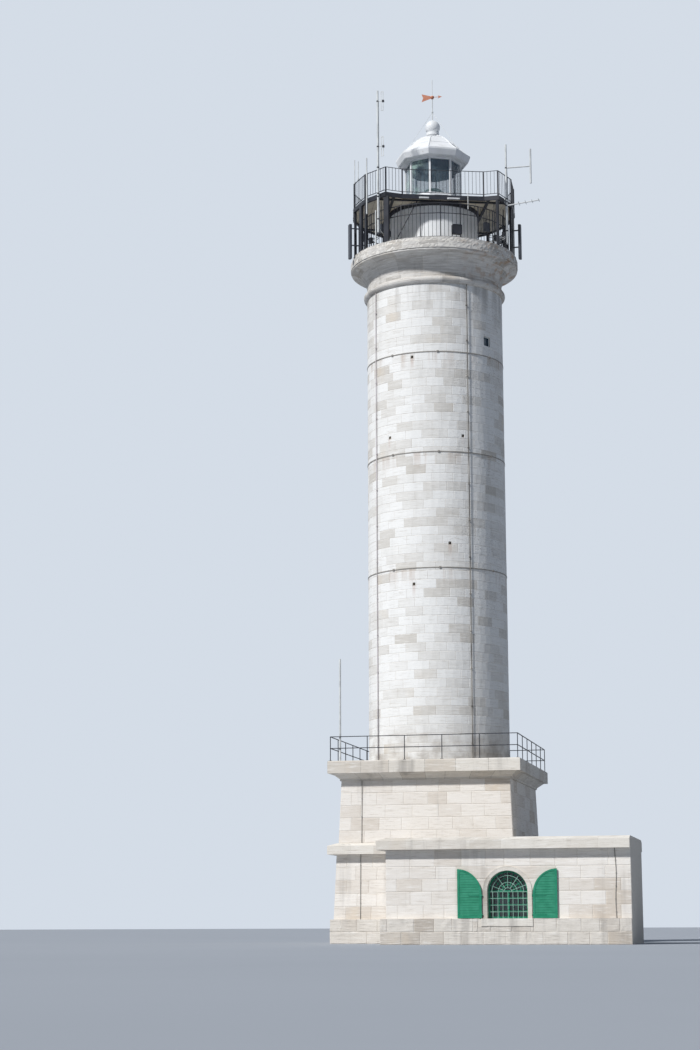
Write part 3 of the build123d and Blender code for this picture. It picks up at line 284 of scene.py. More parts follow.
def whiteWallFinish():
    # White paint with grey runs and rust spots
    finish = Finish("whiteWall", 0.4)
    runs = finish.noise(3.4, 4, (1, 1, 0.1))
    fine = finish.noise(45, 3)
    finish.clouds(finish.noise(1.4, 4), (244, 245, 246), (230, 231, 231))
    finish.over(runs.between(0.56, 0.8) * 0.35, (176, 172, 166))
    finish.over(finish.noise(11, 4).between(0.66, 0.76) * 0.5, (150, 104, 72))
    return finish.done(fine * 0.2 + 0.35, fine * 0.4 + runs, 0.002)


def timberFinish():
    # Green paint over boards, with upright grain and a few chips
    finish = Finish("greenTimber", 0.35)
    grain = finish.noise(55, 4, (1, 1, 0.06))
    cloud = finish.noise(4, 4)
    finish.clouds(cloud, (26, 128, 96), (44, 142, 110))
    finish.over(grain.between(0.55, 0.8) * 0.35, (18, 92, 72))
    finish.over(finish.noise(30, 4, (1, 1, 0.4)).between(0.66, 0.74) * 0.45, (120, 150, 128))
    return finish.done(cloud * 0.2 + 0.38, grain, 0.002)


def paneFinish(name, colour, deep, opaque, roughness=0.06):
    # Glass under an uneven film of dust
    finish = Finish(name, 0.6)
    dust = finish.noise(5, 4)
    finish.clouds(dust, colour, deep)
    return finish.done(dust * 0.12 + roughness, alpha=dust * 0.15 + opaque)


def lanternPaneFinish():
    # Clear glass with a painted reflection: pale green light in blotches at the front left, where the glass is
    # also less clear
    finish = Finish("lanternPane", 0.6)
    dust = finish.noise(5, 4)
    paintedReflection = finish.noise(1.7, 2, (1, 1, 1.2), 0.5).between(0.38, 0.68)
    paintedReflection = paintedReflection * finish.x.between(0.0, -0.5) * finish.y.between(0.2, -0.4)
    finish.clouds(dust, (96, 118, 134), (130, 150, 160))
    # Painted reflection: pale green blotches laid over the glass
    finish.over(paintedReflection * 0.8, (186, 214, 200))
    return finish.done(dust * 0.12 + 0.03, alpha=dust * 0.15 + paintedReflection * 0.28 + 0.16)


def soffitFinish(board=0.4):
    # Stained boards with a dark joint between them, square to the deck's straight front
    finish = Finish("soffitBoard", 0.3)
    cloud = finish.noise(1.8, 4)
    spots = finish.noise(9, 4).between(0.6, 0.75)
    across = finish.x * 0.95 + finish.y * 0.313
    joint = (across % board - board / 2).size().between(board / 2 - 0.008, board / 2 - 0.003)
    finish.clouds(cloud, (222, 214, 198), (198, 188, 170))
    finish.over(spots * 0.4, (138, 108, 80))
    finish.over(joint * 0.8, (92, 84, 74))
    return finish.done(cloud * 0.3 + 0.55, spots + cloud - joint * 3, 0.003)


mortar = mortarFinish()
finishes = {
    "base_stone": mortar,
    "shaft_stone": mortar,
    "moulding_stone": StoneFinish("mouldingStone", (232, 226, 216), (206, 197, 185), (176, 166, 153),
                                  0.45).done(),
    "paving_stone": StoneFinish("pavingStone", (170, 164, 154), (140, 134, 126), (120, 114, 106), 0.2).done(),
    "dark_iron": paintFinish("darkIron", (27, 29, 36), (44, 46, 54), (104, 66, 46), 0.6, 0.5),
    "white_paint": whiteWallFinish(),
    "mast_paint": paintFinish("mastPaint", (226, 228, 226), (198, 200, 200), (150, 108, 80), 0.5),
    "grille_paint": paintFinish("grillePaint", (150, 190, 172), (120, 164, 146), (130, 96, 70), 0.5),
    "green_timber": timberFinish(),
    "vane_paint": vaneFinish(),
    "window_pane": paneFinish("windowPane", (40, 50, 52), (62, 72, 74), 0.75),
    "lantern_pane": lanternPaneFinish(),
    "lens_glass": paneFinish("lensGlass", (96, 130, 118), (150, 176, 160), 0.72, 0.02),
    "soffit_board": soffitFinish(),
    # Painted shade: dark blue-grey standing in for the white ceiling under the lantern's roof, which is in
    # shadow
    "blind_paint": paintFinish("lanternShadePaint", (42, 52, 82), (56, 84, 104), (74, 88, 96), 0.3),
    "aerial_case": paintFinish("aerialCase", (48, 52, 62), (70, 74, 82), (60, 58, 56), 0.4),
}
agedIron = paintFinish("agedIron", (136, 132, 126), (158, 153, 146), (120, 92, 72), 0.5, 0.6)
strip = stripFinish()
galleryStone = StoneFinish("galleryStone", (232, 228, 220), (206, 199, 188), (176, 168, 156), 0.2).done()
nodeFinishes = {row["node"]: finishes[row["material_slot"]] for row in frame["record"]["subparts"]}
nodeFinishes.update({
    "lightning_rod": finishes["mast_paint"], "shaft_hoops": agedIron, "conductors": strip,
    "shaft_window": slitFinish(), "string_course": mortar, "capital": mortar, "gallery_slab": galleryStone,
    "terrace_slab": finishes["paving_stone"], "wing_roof": finishes["paving_stone"],
})
for name, finish in nodeFinishes.items():
    nodes[name].data.materials.clear()
    nodes[name].data.materials.append(finish)
print("materials", len(bpy.data.materials))


# Making a mesh

def meshPiece(name, points, faces, slot, finish=None, smooth=False, tone=None, body="building"):
    # A piece that rides on a body, with its slot's finish unless another is given
    mesh = bpy.data.meshes.new(name)
    mesh.from_pydata(np.asarray(points, float).reshape(-1, 3).tolist(), [], faces)
    mesh.polygons.foreach_set("use_smooth", [smooth] * len(mesh.polygons))
    if tone is not None:
        mesh.attributes.new("tone", "FLOAT", "POINT").data.foreach_set("value", np.asarray(tone, np.float32))
    mesh.materials.append(finish or finishes[slot])
    mesh.update()
    piece = placed(name, mesh)
    if body:
        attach(piece, body)
    return piece


def barFaces(index, flip=False):
    # Faces of closed bars with capped ends, from their points' numbers as (bars, rings, points of a ring)
    after = np.roll(index, -1, 2)
    quads = np.stack([index[:, :-1], after[:, :-1], after[:, 1:], index[:, 1:]], -1).reshape(-1, 4)
    low, high = index[:, 0, ::-1], index[:, -1]
    if flip:
        quads, low, high = quads[:, [0, 3, 2, 1]], low[:, ::-1], high[:, ::-1]
    return quads.tolist() + low.tolist() + high.tolist()


def alongProfile(profile):
    # A profile of (out, height) as a function of the metres up it and off it, with its knots
    points = np.array(profile, float)
    steps = np.diff(points, axis=0)
    lengths = np.linalg.norm(steps, axis=1)
    normals = np.stack([steps[:, 1], -steps[:, 0]], 1) / lengths[:, None]
    corner = np.concatenate([normals[:1], (normals[1:] + normals[:-1]) / 2, normals[-1:]])
    corner /= (corner ** 2).sum(1, keepdims=True)
    corner *= np.minimum(1, 1.42 / np.linalg.norm(corner, axis=1))[:, None]  # as at a square corner at most
    knots = np.concatenate([[0], np.cumsum(lengths)])

    def at(v, lift):
        return [np.interp(v, knots, points[:, i]) + lift * np.interp(v, knots, corner[:, i]) for i in (0, 1)]
    return at, knots


def alongWall(start, end, ends, profile, warp=None):
    # Place of (u, v, lift): u metres from start to end, which is at the right seen from outside, v metres up
    # the profile and lift metres off it. ends are (-1, 1) at convex corners, so that runs meet on the mitre.
    start, end = np.array(start, float), np.array(end, float)
    length = np.linalg.norm(end - start)
    along = (end - start) / length
    out = np.array([along[1], -along[0]])
    at, knots = alongProfile(profile)

    def place(u, v, lift):
        reach, z = at(v, lift)
        u = warp(u, z) if warp else u
        share = u / length
        shift = u + reach * (ends[0] * (1 - share) + ends[1] * share)
        return np.stack([start[i] + along[i] * shift + out[i] * reach for i in (0, 1)] + [z], -1)
    return place, length, knots[-1]


def aroundShaft(profile, radius):
    # Place of (u, v, lift): u metres round to the right from the front, v up the profile, lift off it
    at, knots = alongProfile(profile)

    def place(u, v, lift):
        reach, z = at(v, lift)
        return np.stack([reach * np.sin(u / radius), -reach * np.cos(u / radius), z], -1)
    return place, 2 * math.pi * radius, knots[-1]


def stoneGrid(spans, place, across=1, up=(), proud=0.009, embed=0.006, bevel=0.012, rough=0.0):
    # Every stone is a closed grid over (u, v), whose rows climb from its back edge inside the wall, over a
    # bevel, up its face and down its back. up gives more rows, as metres up the profile, for a moulding.
    spans = np.array(spans, float)
    left, right, low, high = (spans[:, i][:, None, None] for i in range(4))
    edge = np.minimum(bevel, 0.2 * np.minimum(right - left, high - low))
    inner = np.linspace(0, 1, across + 1)[None, :, None]
    columns = np.concatenate([left, left + edge + inner * (right - left - 2 * edge), right], 1)
    rise = np.broadcast_to(np.array(up, float), (len(spans), 1, len(up)))
    rows = np.concatenate([low, low, low + edge, rise, high - edge, high, high, rise[..., ::-1]], 2)
    shape = (len(spans), columns.shape[1], rows.shape[2])
    u, v = np.broadcast_to(columns, shape), np.broadcast_to(rows, shape)
    lift = np.full(shape, proud)
    crest = 4 + len(up)
    if rough:
        lift[:, 1:-1, 2:crest] += chance.normal(0, rough, (shape[0], shape[1] - 2, crest - 2))
    drop = np.minimum(edge * 0.8, proud * 0.8)
    lift[:, [0, -1]] = proud - drop
    lift[:, :, [1, crest]] = proud - drop
    lift[:, :, 0] = -embed
    lift[:, :, crest + 1:] = -embed
    index = np.arange(lift.size).reshape(shape)
    return place(u, v, lift).reshape(-1, 3), barFaces(index, flip=True), np.repeat(spans[:, 4], lift[0].size)


def courses(length, tall, sizes, mean, closed=False, gap=0.01, start=0.0, spread=0.16):
    # Spans (left, right, low, high, tone) of a bonded wall: joints break over those below
    spans, low = [], 0.0
    for row, size in enumerate(sizes):
        count = max(1, round(length / mean))
        cuts = (np.arange(count + 1) + chance.uniform(-spread, spread, count + 1)) / count * length
        if row % 2:
            cuts = cuts + length / count / 2
        if closed:
            cuts[-1] = cuts[0] + length
        else:
            cuts = np.concatenate([[0], cuts[(cuts > 0.28 * mean) & (cuts < length - 0.28 * mean)], [length]])
        cuts = cuts + start
        for left, right in zip(cuts[:-1], cuts[1:]):
            spans.append((left + gap / 2, right - gap / 2, low + gap / 2, min(low + size, tall) - gap / 2,
                          chance.beta(1.3, 2.6)))
        low += size
    return spans


def evenRows(tall, mean):
    count = round(tall / mean)
    return [tall / count] * count


def cutOut(spans, hole, least=0.02):
    # Stones that meet an opening (left, right, low, high) are cut to its edges
    kept = []
    for left, right, low, high, tone in spans:
        if right <= hole[0] or left >= hole[1] or high <= hole[2] or low >= hole[3]:
            kept.append((left, right, low, high, tone))
            continue
        inner = (max(left, hole[0]), min(right, hole[1]))
        cuts = ((hole[0] - left, (left, hole[0], low, high)), (right - hole[1], (hole[1], right, low, high)),
                (hole[2] - low, (*inner, low, hole[2])), (high - hole[3], (*inner, hole[3], high)))
        kept += [(*cut, tone) for size, cut in cuts if size > least]
    return kept


def joinedPiece(name, parts, slot, finish=None, smooth=False):
    # Several (points, faces), with tones where they are stones, as one piece
    faces, base = [], 0
    for part in parts:
        faces += [[i + base for i in face] for face in part[1]]
        base += len(part[0])
    tone = np.concatenate([part[2] for part in parts]) if len(parts[0]) > 2 else None
    print(name, len(faces), "faces")
    return meshPiece(name, np.concatenate([part[0] for part in parts]), faces, slot, finish, smooth, tone)


# The shaft's ashlar

def shaftAt(z):
    return shaft["foot"] + (shaft["top"] - shaft["foot"]) * z / shaft["height"]


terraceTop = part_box("terrace_slab")[1].z
shaftFace = [(shaftAt(terraceTop), terraceTop), (shaft["top"], shaft["height"])]
place, length, tall = aroundShaft(shaftFace, shaft["mean"])
spans = courses(length, tall, evenRows(tall, shaft["course"]), length / shaft["around"], closed=True,
                gap=shaft["joint"])
for azimuth, z, size in [(*hole, shaft["putlog"]) for hole in shaft["holes"]] + [shaft["slit"]]:
    z -= terraceTop
    for turn in (0, length):
        u = math.radians(azimuth) * shaft["mean"] + turn
        spans = cutOut(spans, (u - size / 2, u + size / 2, z - size / 2, z + size / 2))
joinedPiece("shaftAshlar", [stoneGrid(spans, place, across=3)], "shaft_stone", shaftStone())


# Base and wing

base = {"foot": 3.7616, "half": 3.62, "storey": 3.54, "back": 1.05, "upperFoot": 3.55, "upperHalf": 3.4494,
        "upperLow": 3.99, "upperHigh": 6.505, "plinth": 0.94, "plinthOut": 0.09, "course": 0.52,
        "upperCourse": 0.5, "stone": 0.95}
wing = {"left": -0.7, "right": 8.57, "front": -8.15, "back": -3.07, "plinthOut": 0.2, "window": 3.935,
        "spring": 1.97, "arch": 0.925, "bend": 0.7, "courses": (0.52, 0.51, 0.46)}
ashlar = {"proud": 0.012, "bevel": 0.016}
far = 9  # beyond the end of any wall
plinth, half, storey = base["plinth"], base["half"], base["storey"]
foot, back = base["foot"], base["back"]


def rectangle(half, back=0.0):
    # Corners of a square plan with more depth behind, from the front left round by the right
    return [(-half, -half), (half, -half), (half, half + back), (-half, half + back)]


def runsAlong(*corners):
    # Runs (start, end, ends) between corners (x, y, kind): kind is 1 if convex, -1 if hollow, 0 if open
    return [((x0, y0), (x1, y1), (-kind0, kind1))
            for (x0, y0, kind0), (x1, y1, kind1) in zip(corners, corners[1:])]


def squareRuns(half):
    corners = [(*corner, 1) for corner in rectangle(half, back)]
    return runsAlong(*corners, corners[0])


def storeyRuns(foot, top, low, high):
    return [alongWall(*run, [(0, low), (top - foot, high)]) for run in squareRuns(foot)]


def wallStones(place, length, tall, sizes, hole=None):
    # A wall's stones above its plinth, whose own stones come later
    spans = [s for s in courses(length, tall, sizes, base["stone"]) if s[2] > plinth - 0.1]
    return stoneGrid(cutOut(spans, hole) if hole else spans, place, **ashlar)


parts = []
behindWing = {0: (wing["left"] + foot - 0.005, far, 0, far), 1: (-1, wing["back"] + foot + 0.01, 0, far)}
for side, (place, length, tall) in enumerate(storeyRuns(foot, half, 0, storey)):
    sizes = [plinth] + evenRows(tall - plinth, base["course"])
    parts.append(wallStones(place, length, tall, sizes, behindWing.get(side)))
for place, length, tall in storeyRuns(*(base["upper" + key] for key in ("Foot", "Half", "Low", "High"))):
    spans = courses(length, tall, evenRows(tall, base["upperCourse"]), base["stone"])
    parts.append(stoneGrid(spans, place, **ashlar))
dressed = StoneFinish("baseStone", (241, 235, 227), (212, 201, 188), (190, 179, 164), 0.3).done()
joinedPiece("baseAshlar", parts, "base_stone", dressed)

middle, crown = wing["window"] - wing["left"], wing["spring"] + wing["arch"]


def archWarp(side):
    # Draws the stones beside the window to the curve of its arch
    edge = middle + side * wing["arch"]
    straight = edge + side * wing["bend"]

    def warp(u, z):
        rise = np.clip(z - wing["spring"], 0, wing["arch"])
        near = middle + side * np.sqrt(np.maximum(wing["arch"] ** 2 - rise ** 2, 0.0))
        share = np.clip((u - straight) / (edge - straight), 0, 1)
        return np.where(z < crown + 0.002, u + share * (near - edge), u)
    return warp


corner, rightEnd = (wing["left"], wing["front"]), (wing["right"], wing["front"])
upright = [(0, 0), (0, storey)]
below = plinth + sum(wing["courses"])
sizes = [plinth, *wing["courses"], crown - below, storey - crown]
parts = []
for side in (-1, 1):
    place, length, tall = alongWall(corner, rightEnd, (-1, 0), upright, archWarp(side))
    edge = middle + side * wing["arch"]
    run, start = (edge, 0.0) if side < 0 else (length - edge, edge)
    spans = courses(run, tall, sizes[:-1], base["stone"], start=start, spread=0.1)
    parts.append(stoneGrid([s for s in spans if s[2] > plinth - 0.1], place, across=4, **ashlar))
place, length, tall = alongWall(corner, rightEnd, (-1, 0), [(0, crown), (0, storey)])
parts.append(stoneGrid(courses(length, tall, [tall], base["stone"]), place, **ashlar))
parts.append(wallStones(*alongWall((wing["left"], -half), corner, (0, 1), upright), sizes))
place, length, tall = alongWall((wing["right"], wing["back"]), (half, wing["back"]), (0, 0), upright)
spans = courses(length, tall, [plinth / 2, plinth / 2] + sizes[1:], base["stone"])
parts.append(stoneGrid(spans, place, **ashlar))
joinedPiece("wingAshlar", parts, "base_stone", dressed)


# Mouldings, in long stones that follow their profiles

lines = {"stringFace": 0.335, "stringSlope": 0.115, "stringOut": 0.33, "bedBand": 0.07, "bedStep": 0.06,
         "bedOut": 0.35, "bed": 0.29, "slab": 0.495, "slabOut": 0.49, "round": (0.045, 0.013), "slabIn": 0.2}
thin = {"proud": 0.004, "embed": 0.004, "bevel": 0.01}


def mouldingStones(run, profile, mean, across=4, rough=0.0):
    # run is (start, end, ends) for alongWall, or a count of stones round the shaft
    knots = alongProfile(profile)[1]
    closed = not isinstance(run, tuple)
    place, length, tall = aroundShaft(profile, 3.3) if closed else alongWall(*run, profile)
    mean = length / run if closed else mean
    spans = courses(length, tall, [tall], mean, closed=closed, gap=0.012, spread=0.08)
    return stoneGrid(spans, place, across=across if closed else 1, up=knots[1:-1], rough=rough, **thin)


stringRuns = runsAlong((-half, -half, 1), (wing["left"], -half, -1), (*corner, 1), (*rightEnd, 0))
stringRuns += runsAlong((wing["right"], wing["back"], 0), (half, wing["back"], -1), (half, half + back, 1),
                        (-half, half + back, 1), (-half, -half, 1))
faceTop = storey + lines["stringFace"]
stringProfile = [(0, storey), (lines["stringOut"], storey), (lines["stringOut"], faceTop),
                 (0, faceTop + lines["stringSlope"])]
joinedPiece("stringStones", [mouldingStones(run, stringProfile, 1.15) for run in stringRuns],
            "moulding_stone")

bedLow = base["upperHigh"]
bedTop = bedLow + lines["bed"]
bedProfile = [(0, bedLow), (lines["bedStep"], bedLow), (lines["bedStep"], bedLow + lines["bedBand"]),
              (lines["bedOut"], bedTop)]
slabTop, slabOut, (wide, narrow) = bedTop + lines["slab"], lines["slabOut"], lines["round"]
slabProfile = [(lines["bedOut"], bedTop), (slabOut, bedTop), (slabOut, slabTop - wide),
               (slabOut - narrow, slabTop - narrow), (slabOut - wide, slabTop), (lines["slabIn"], slabTop)]
joinedPiece("terraceStones", [mouldingStones(run, profile, mean) for run in squareRuns(base["upperHalf"])
                              for profile, mean in ((bedProfile, 0.9), (slabProfile, 1.25))],
            "moulding_stone")


def plinthProfile(out, inside):
    return [(out, 0), (out, plinth / 2), (out, plinth), (inside, plinth)]


basePlinth, wingPlinth = plinthProfile(base["plinthOut"], -0.02), plinthProfile(wing["plinthOut"], 0)
footBack = foot + back
sillGap = (3.665, 5.605, 0.68, far)
baseRuns = runsAlong((-foot, -foot, 1), (wing["left"] - wing["plinthOut"], -foot, 0))
baseRuns += runsAlong((foot, wing["back"], 0), (foot, footBack, 1), (-foot, footBack, 1), (-foot, -foot, 1))
wingRuns = runsAlong((wing["left"], -foot, 0), (*corner, 1), (*rightEnd, 0))
parts = []
for run, profile in [(run, basePlinth) for run in baseRuns] + [(run, wingPlinth) for run in wingRuns]:
    place, length, tall = alongWall(*run, profile)
    spans = courses(length, tall, [plinth / 2, tall - plinth / 2], 0.8)
    spans = cutOut(spans, sillGap) if run[1] == rightEnd else spans
    for up in ((0.7, plinth), ()):  # the upper stones also cover the plinth's top
        row = [s for s in spans if (s[3] > plinth) == bool(up)]
        parts.append(stoneGrid(row, place, across=3, up=up, proud=0.014, bevel=0.02, rough=0.004))
plinthStone = StoneFinish("plinthStone", (226, 219, 209), (190, 180, 168), (156, 146, 134), 0.45,
                          0.014).done()
joinedPiece("plinthStones", parts, "base_stone", plinthStone)

head = {"bead": 0.15, "beadAt": 27.67, "hollowLow": 28.0, "band": 28.805, "lip": 3.565, "rim": 3.62,
        "slabLow": 28.88, "slabEdge": 3.65, "step": 29.16, "stepEdge": 3.59, "slabTop": 29.35,
        "slabIn": (3.5, 3.42)}
neck, beadAt, lip, rim, slabHigh = shaft["top"], head["beadAt"], head["lip"], head["rim"], head["slabTop"]
turn = np.linspace(-math.pi / 2, math.pi / 2, 9)
beadProfile = np.stack([neck + head["bead"] * np.cos(turn), beadAt + head["bead"] * np.sin(turn)], 1)
turn = np.linspace(0, math.pi / 2, 11)
hollow = np.stack([lip - (lip - neck) * np.cos(turn),
                   head["hollowLow"] + (head["band"] - head["hollowLow"]) * np.sin(turn)], 1)
lipProfile = np.concatenate([hollow[6:-1], [(lip - 0.004, head["band"] - 0.001), (rim, head["band"]),
                                            (rim, head["slabLow"])]])
slabEdge = [(rim, head["slabLow"])]
slabEdge += [(head["slabEdge"], z) for z in np.linspace(head["slabLow"], head["step"], 5)]
slabEdge += [(head["stepEdge"], z) for z in np.linspace(head["step"], slabHigh, 4)]
slabEdge += [(radius, slabHigh) for radius in head["slabIn"]]
neckProfile = [(neck, beadAt + head["bead"]), (neck, head["hollowLow"])]
rounds = ((24, beadProfile), (20, neckProfile), (18, hollow[:7]), (18, lipProfile))
parts = [mouldingStones(count, profile, 0) for count, profile in rounds]
parts.append(mouldingStones(30, slabEdge, 0, across=9, rough=0.006))
joinedPiece("capitalStones", parts, "moulding_stone", capitalFinish())


# The window's surround: voussoirs with a raised outer edge, which the shut leaves' straps clear by 10 mm

arch = {"inner": 0.765, "wide": 0.165, "face": -8.19, "sill": 0.96, "spring": 1.97, "rim": 0.04,
        "rimOut": 0.004, "springers": (0.46, 0.54), "voussoirs": 9, "joint": 0.008}
jamb, bow = arch["spring"] - arch["sill"], arch["inner"] + arch["wide"] / 2


def roundArch(u, v, lift):
    # u metres up the left jamb, over the arch and down the right jamb; v metres out from the opening
    angle = np.clip((u - jamb) / bow, 0, math.pi)
    radius = arch["inner"] + v
    fall = np.maximum(jamb - u, 0) + np.maximum(u - jamb - math.pi * bow, 0)
    raised = arch["rimOut"] * (v > arch["wide"] - arch["rim"] - 1e-6) * (lift > 0)
    return np.stack([wing["window"] - radius * np.cos(angle), arch["face"] - lift - raised,
                     arch["spring"] + radius * np.sin(angle) - fall], -1)


curve = math.pi * bow
first, last = arch["springers"]
cuts = np.concatenate([[0.002, jamb * first], jamb + curve * np.linspace(0, 1, arch["voussoirs"] + 1),
                       [jamb * (1 + last) + curve, jamb * 2 + curve]])
spans = [(a + arch["joint"] / 2, b - arch["joint"] / 2, 0, arch["wide"], chance.beta(1.6, 2.2))
         for a, b in zip(cuts[:-1], cuts[1:])]
edge = arch["wide"] - arch["rim"]
joinedPiece("surroundStones", [stoneGrid(spans, roundArch, 4, (edge - 0.004, edge), proud=0.003,
                                         bevel=0.008)], "moulding_stone")


# Flags on the terrace and the wing's roof

def flags(low, high, z, mean, hole=None):
    def place(u, v, lift):
        return np.stack([low[0] + u, low[1] + v, z + lift], -1)

    spans = courses(high[0] - low[0], high[1] - low[1], evenRows(high[1] - low[1], mean), mean * 1.3)
    return stoneGrid(cutOut(spans, hole) if hole else spans, place, **thin)


reach = base["upperHalf"] + 0.19
opening = (reach - 2, reach + 2) * 2  # under the shaft
roofLow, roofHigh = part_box("wing_roof")
joinedPiece("flags", [
    flags((-reach, -reach), (reach, reach + back), slabTop, 0.62, opening),
    flags((roofLow.x + 0.02, roofLow.y + 0.02), (roofHigh.x - 0.02, roofHigh.y - 0.02), roofHigh.z, 0.7),
], "paving_stone")


# Small iron: studs are a profile of (radius, height) turned round an axis with a few sides

upwards, frontwards = (0, 0, 1.0), (0, -1.0, 0)
hexHead = [(0.011, 0), (0.011, 0.006), (0.0095, 0.008), (0.005, 0.008), (0.0045, 0.015)]


def studs(name, places, axes, profile, sides, finish=None, stretch=(1, 1), turn=0.0, slot="dark_iron",
          body="building"):
    places = np.array(places, float)
    axes = np.broadcast_to(np.array(axes, float), places.shape)
    side = np.cross([0, 0, 1], axes)
    side[np.linalg.norm(side, axis=1) < 1e-6] = (1, 0, 0)
    side /= np.linalg.norm(side, axis=1, keepdims=True)
    other = np.cross(axes, side)
    angle = np.arange(sides) * 2 * math.pi / sides + turn
    radius, height = np.array(profile, float).T[:, None, :, None, None]
    across = side[:, None, None] * np.cos(angle)[:, None] * stretch[0]
    across = across + other[:, None, None] * np.sin(angle)[:, None] * stretch[1]
    points = places[:, None, None] + axes[:, None, None] * height + across * radius
    index = np.arange(points.size // 3).reshape(points.shape[:3])
    return meshPiece(name, points, barFaces(index), slot, finish, body=body)


def tubes(name, paths, radius, sides, slot, finish=None):
    # Round bars along lists of points, each ring square to the path
    parts = []
    for path in paths:
        path = np.array(path, float)
        ahead = np.gradient(path, axis=0)
        ahead /= np.linalg.norm(ahead, axis=1, keepdims=True)
        side = np.cross(ahead, (0, 0, 1.0) if abs(ahead[0, 2]) < 0.9 else (1.0, 0, 0))
        side /= np.linalg.norm(side, axis=1, keepdims=True)
        other = np.cross(ahead, side)
        angle = np.arange(sides)[:, None] * 2 * math.pi / sides
        rings = path[:, None] + radius * (side[:, None] * np.cos(angle) + other[:, None] * np.sin(angle))
        parts.append((rings.reshape(-1, 3), barFaces(np.arange(len(path) * sides).reshape(1, -1, sides))))
    return joinedPiece(name, parts, slot, finish, smooth=sides > 6)


def azimuthPoint(radius, azimuth, z):
    angle = np.radians(azimuth)
    return np.stack(np.broadcast_arrays(radius * np.sin(angle), -radius * np.cos(angle), z), -1)


def outwardAt(places):
    level = np.array(places) * (1, 1, 0)
    return level / np.linalg.norm(level, axis=1, keepdims=True)


clips = {"turns": (-48, 37), "first": 0.7, "every": 1.55, "last": 27.4, "reach": 2.928,
         "profile": [(0.05, 0), (0.05, 0.07), (0.04, 0.08), (0.018, 0.08), (0.014, 0.092)]}
levels = np.arange(terraceTop + clips["first"], clips["last"], clips["every"])
spots = np.concatenate([azimuthPoint(clips["reach"], turn, levels) for turn in clips["turns"]])
studs("conductorClips", spots, outwardAt(spots), clips["profile"], 4, strip, (1, 0.6), math.pi / 4)

clasps = {"turns": (-95, -28, 12, 62, 140, 200),
          "profile": [(0.055, 0), (0.055, 0.032), (0.045, 0.04), (0.02, 0.04), (0.016, 0.056)]}
spots = np.concatenate([azimuthPoint(shaftAt(z) + 0.004, clasps["turns"], z) for z in shaft["hoops"]])
studs("hoopClasps", spots, outwardAt(spots), clasps["profile"], 6, agedIron, (1.3, 1))

posts = {"inset": 0.105, "spaces": (5, 6), "bolt": 0.042, "plate": 0.011}
corners = np.array(rectangle(base["upperHalf"] + lines["slabOut"] - posts["inset"], back))
spots = np.concatenate([corners[i] + (corners[(i + 1) % 4] - corners[i]) * (np.arange(n) / n)[:, None]
                        for i, n in enumerate(posts["spaces"] * 2)])
spots = (spots[:, None] + rectangle(posts["bolt"])).reshape(-1, 2)
spots = np.column_stack([spots, np.full(len(spots), slabTop + posts["plate"])])
studs("terraceBolts", spots, upwards, hexHead, 6)

cable = {"left": -2.63, "right": 8.0, "radius": 0.014, "off": 0.026, "clip": 0.02,
         "profile": [(0.035, 0), (0.035, 0.03), (0.028, 0.038)]}
lean = (foot - half) / storey
upperLean = (base["upperFoot"] - base["upperHalf"]) / (base["upperHigh"] - base["upperLow"])
leftPath = [(cable["left"], lean * z - foot - cable["off"], z) for z in (0.94, 1.6, 2.4, 3.1, 3.55)]
rightPath = [(cable["right"] + 0.02 * math.sin(3 * z), wing["front"] - cable["off"], z)
             for z in np.linspace(0.95, 3.56, 12)]
upperPath = [(cable["left"] + 0.03, upperLean * (z - base["upperLow"]) - base["upperFoot"] - cable["off"], z)
             for z in np.linspace(3.96, 6.5, 8)]
tubes("wallCables", [leftPath, rightPath, upperPath], cable["radius"], 8, "dark_iron", agedIron)
spots = np.array(leftPath[1:-1] + rightPath[1:-1:2] + upperPath[1:-1:2]) + (0, cable["clip"], 0)
studs("cableClips", spots, frontwards, cable["profile"], 4, agedIron, (1, 0.45), math.pi / 4)

hinges = {"axis": (2.99, 4.88), "nails": (0.21, 0.33, 0.46), "levels": (1.10, 1.81), "face": -8.257,
          "profile": [(0.011, -0.002), (0.011, 0.002), (0.0085, 0.005), (0.004, 0.007)]}
for side, leaf, axis in ((-1, "left", hinges["axis"][0]), (1, "right", hinges["axis"][1])):
    spots = [(axis + side * nail, hinges["face"], z) for z in hinges["levels"] for nail in hinges["nails"]]
    studs(leaf + "Nails", spots, frontwards, hinges["profile"], 10, slot="green_timber", body=leaf + "_leaf")
print("small iron on the walls")


# The head's shoes, bolts, bands, boxes and cables

deck = {"front": (-25, 61.5), "sides": 13, "radius": 3.6, "low": 31.41, "post": 3.51,
        "plate": ((0.105, 0.09), 0.014), "rail": 3.3, "railPlate": ((0.05, 0.05), 0.01), "edge": 2.402,
        "bolts": (-1.6, -1.53, -1.15, -1.08, 1.05, 1.12, 1.7, 1.77), "sideBolts": (-0.56, -0.49, 0.49, 0.56),
        "profile": [(0.013, -0.001), (0.013, 0.008), (0.011, 0.01), (0.005, 0.01), (0.0045, 0.017)]}
frontMiddle = sum(deck["front"]) / 2
sideStep = (deck["front"][0] + 360 - deck["front"][1]) / deck["sides"]
postTurns = deck["front"][1] + np.arange(deck["sides"] + 1) * sideStep
railTurns = np.arange(24) * 15.0


def turned(points, azimuths):
    # Points made at the front, repeated at each azimuth in degrees
    x, y, z = np.array(points, float).T[:, None]
    angle = np.radians(azimuths).reshape(-1, 1)
    return np.stack([x * np.cos(angle) - y * np.sin(angle), x * np.sin(angle) + y * np.cos(angle),
                     z + 0 * angle], -1).reshape(-1, 3)


def plates(name, half, thick, spot, azimuths, slot):
    # Flat bevelled plates or boxes, made at the front and turned to their azimuths
    bevel = min(*half, thick) * 0.4
    shape = [(x * (half[0] - inset), y * (half[1] - inset), z)
             for inset, z in ((0, -0.002), (0, thick - bevel), (bevel, thick)) for x, y in rectangle(1)]
    points = turned(np.array(shape) + spot, azimuths)
    return meshPiece(name, points, barFaces(np.arange(len(points)).reshape(-1, 3, 4)), slot)


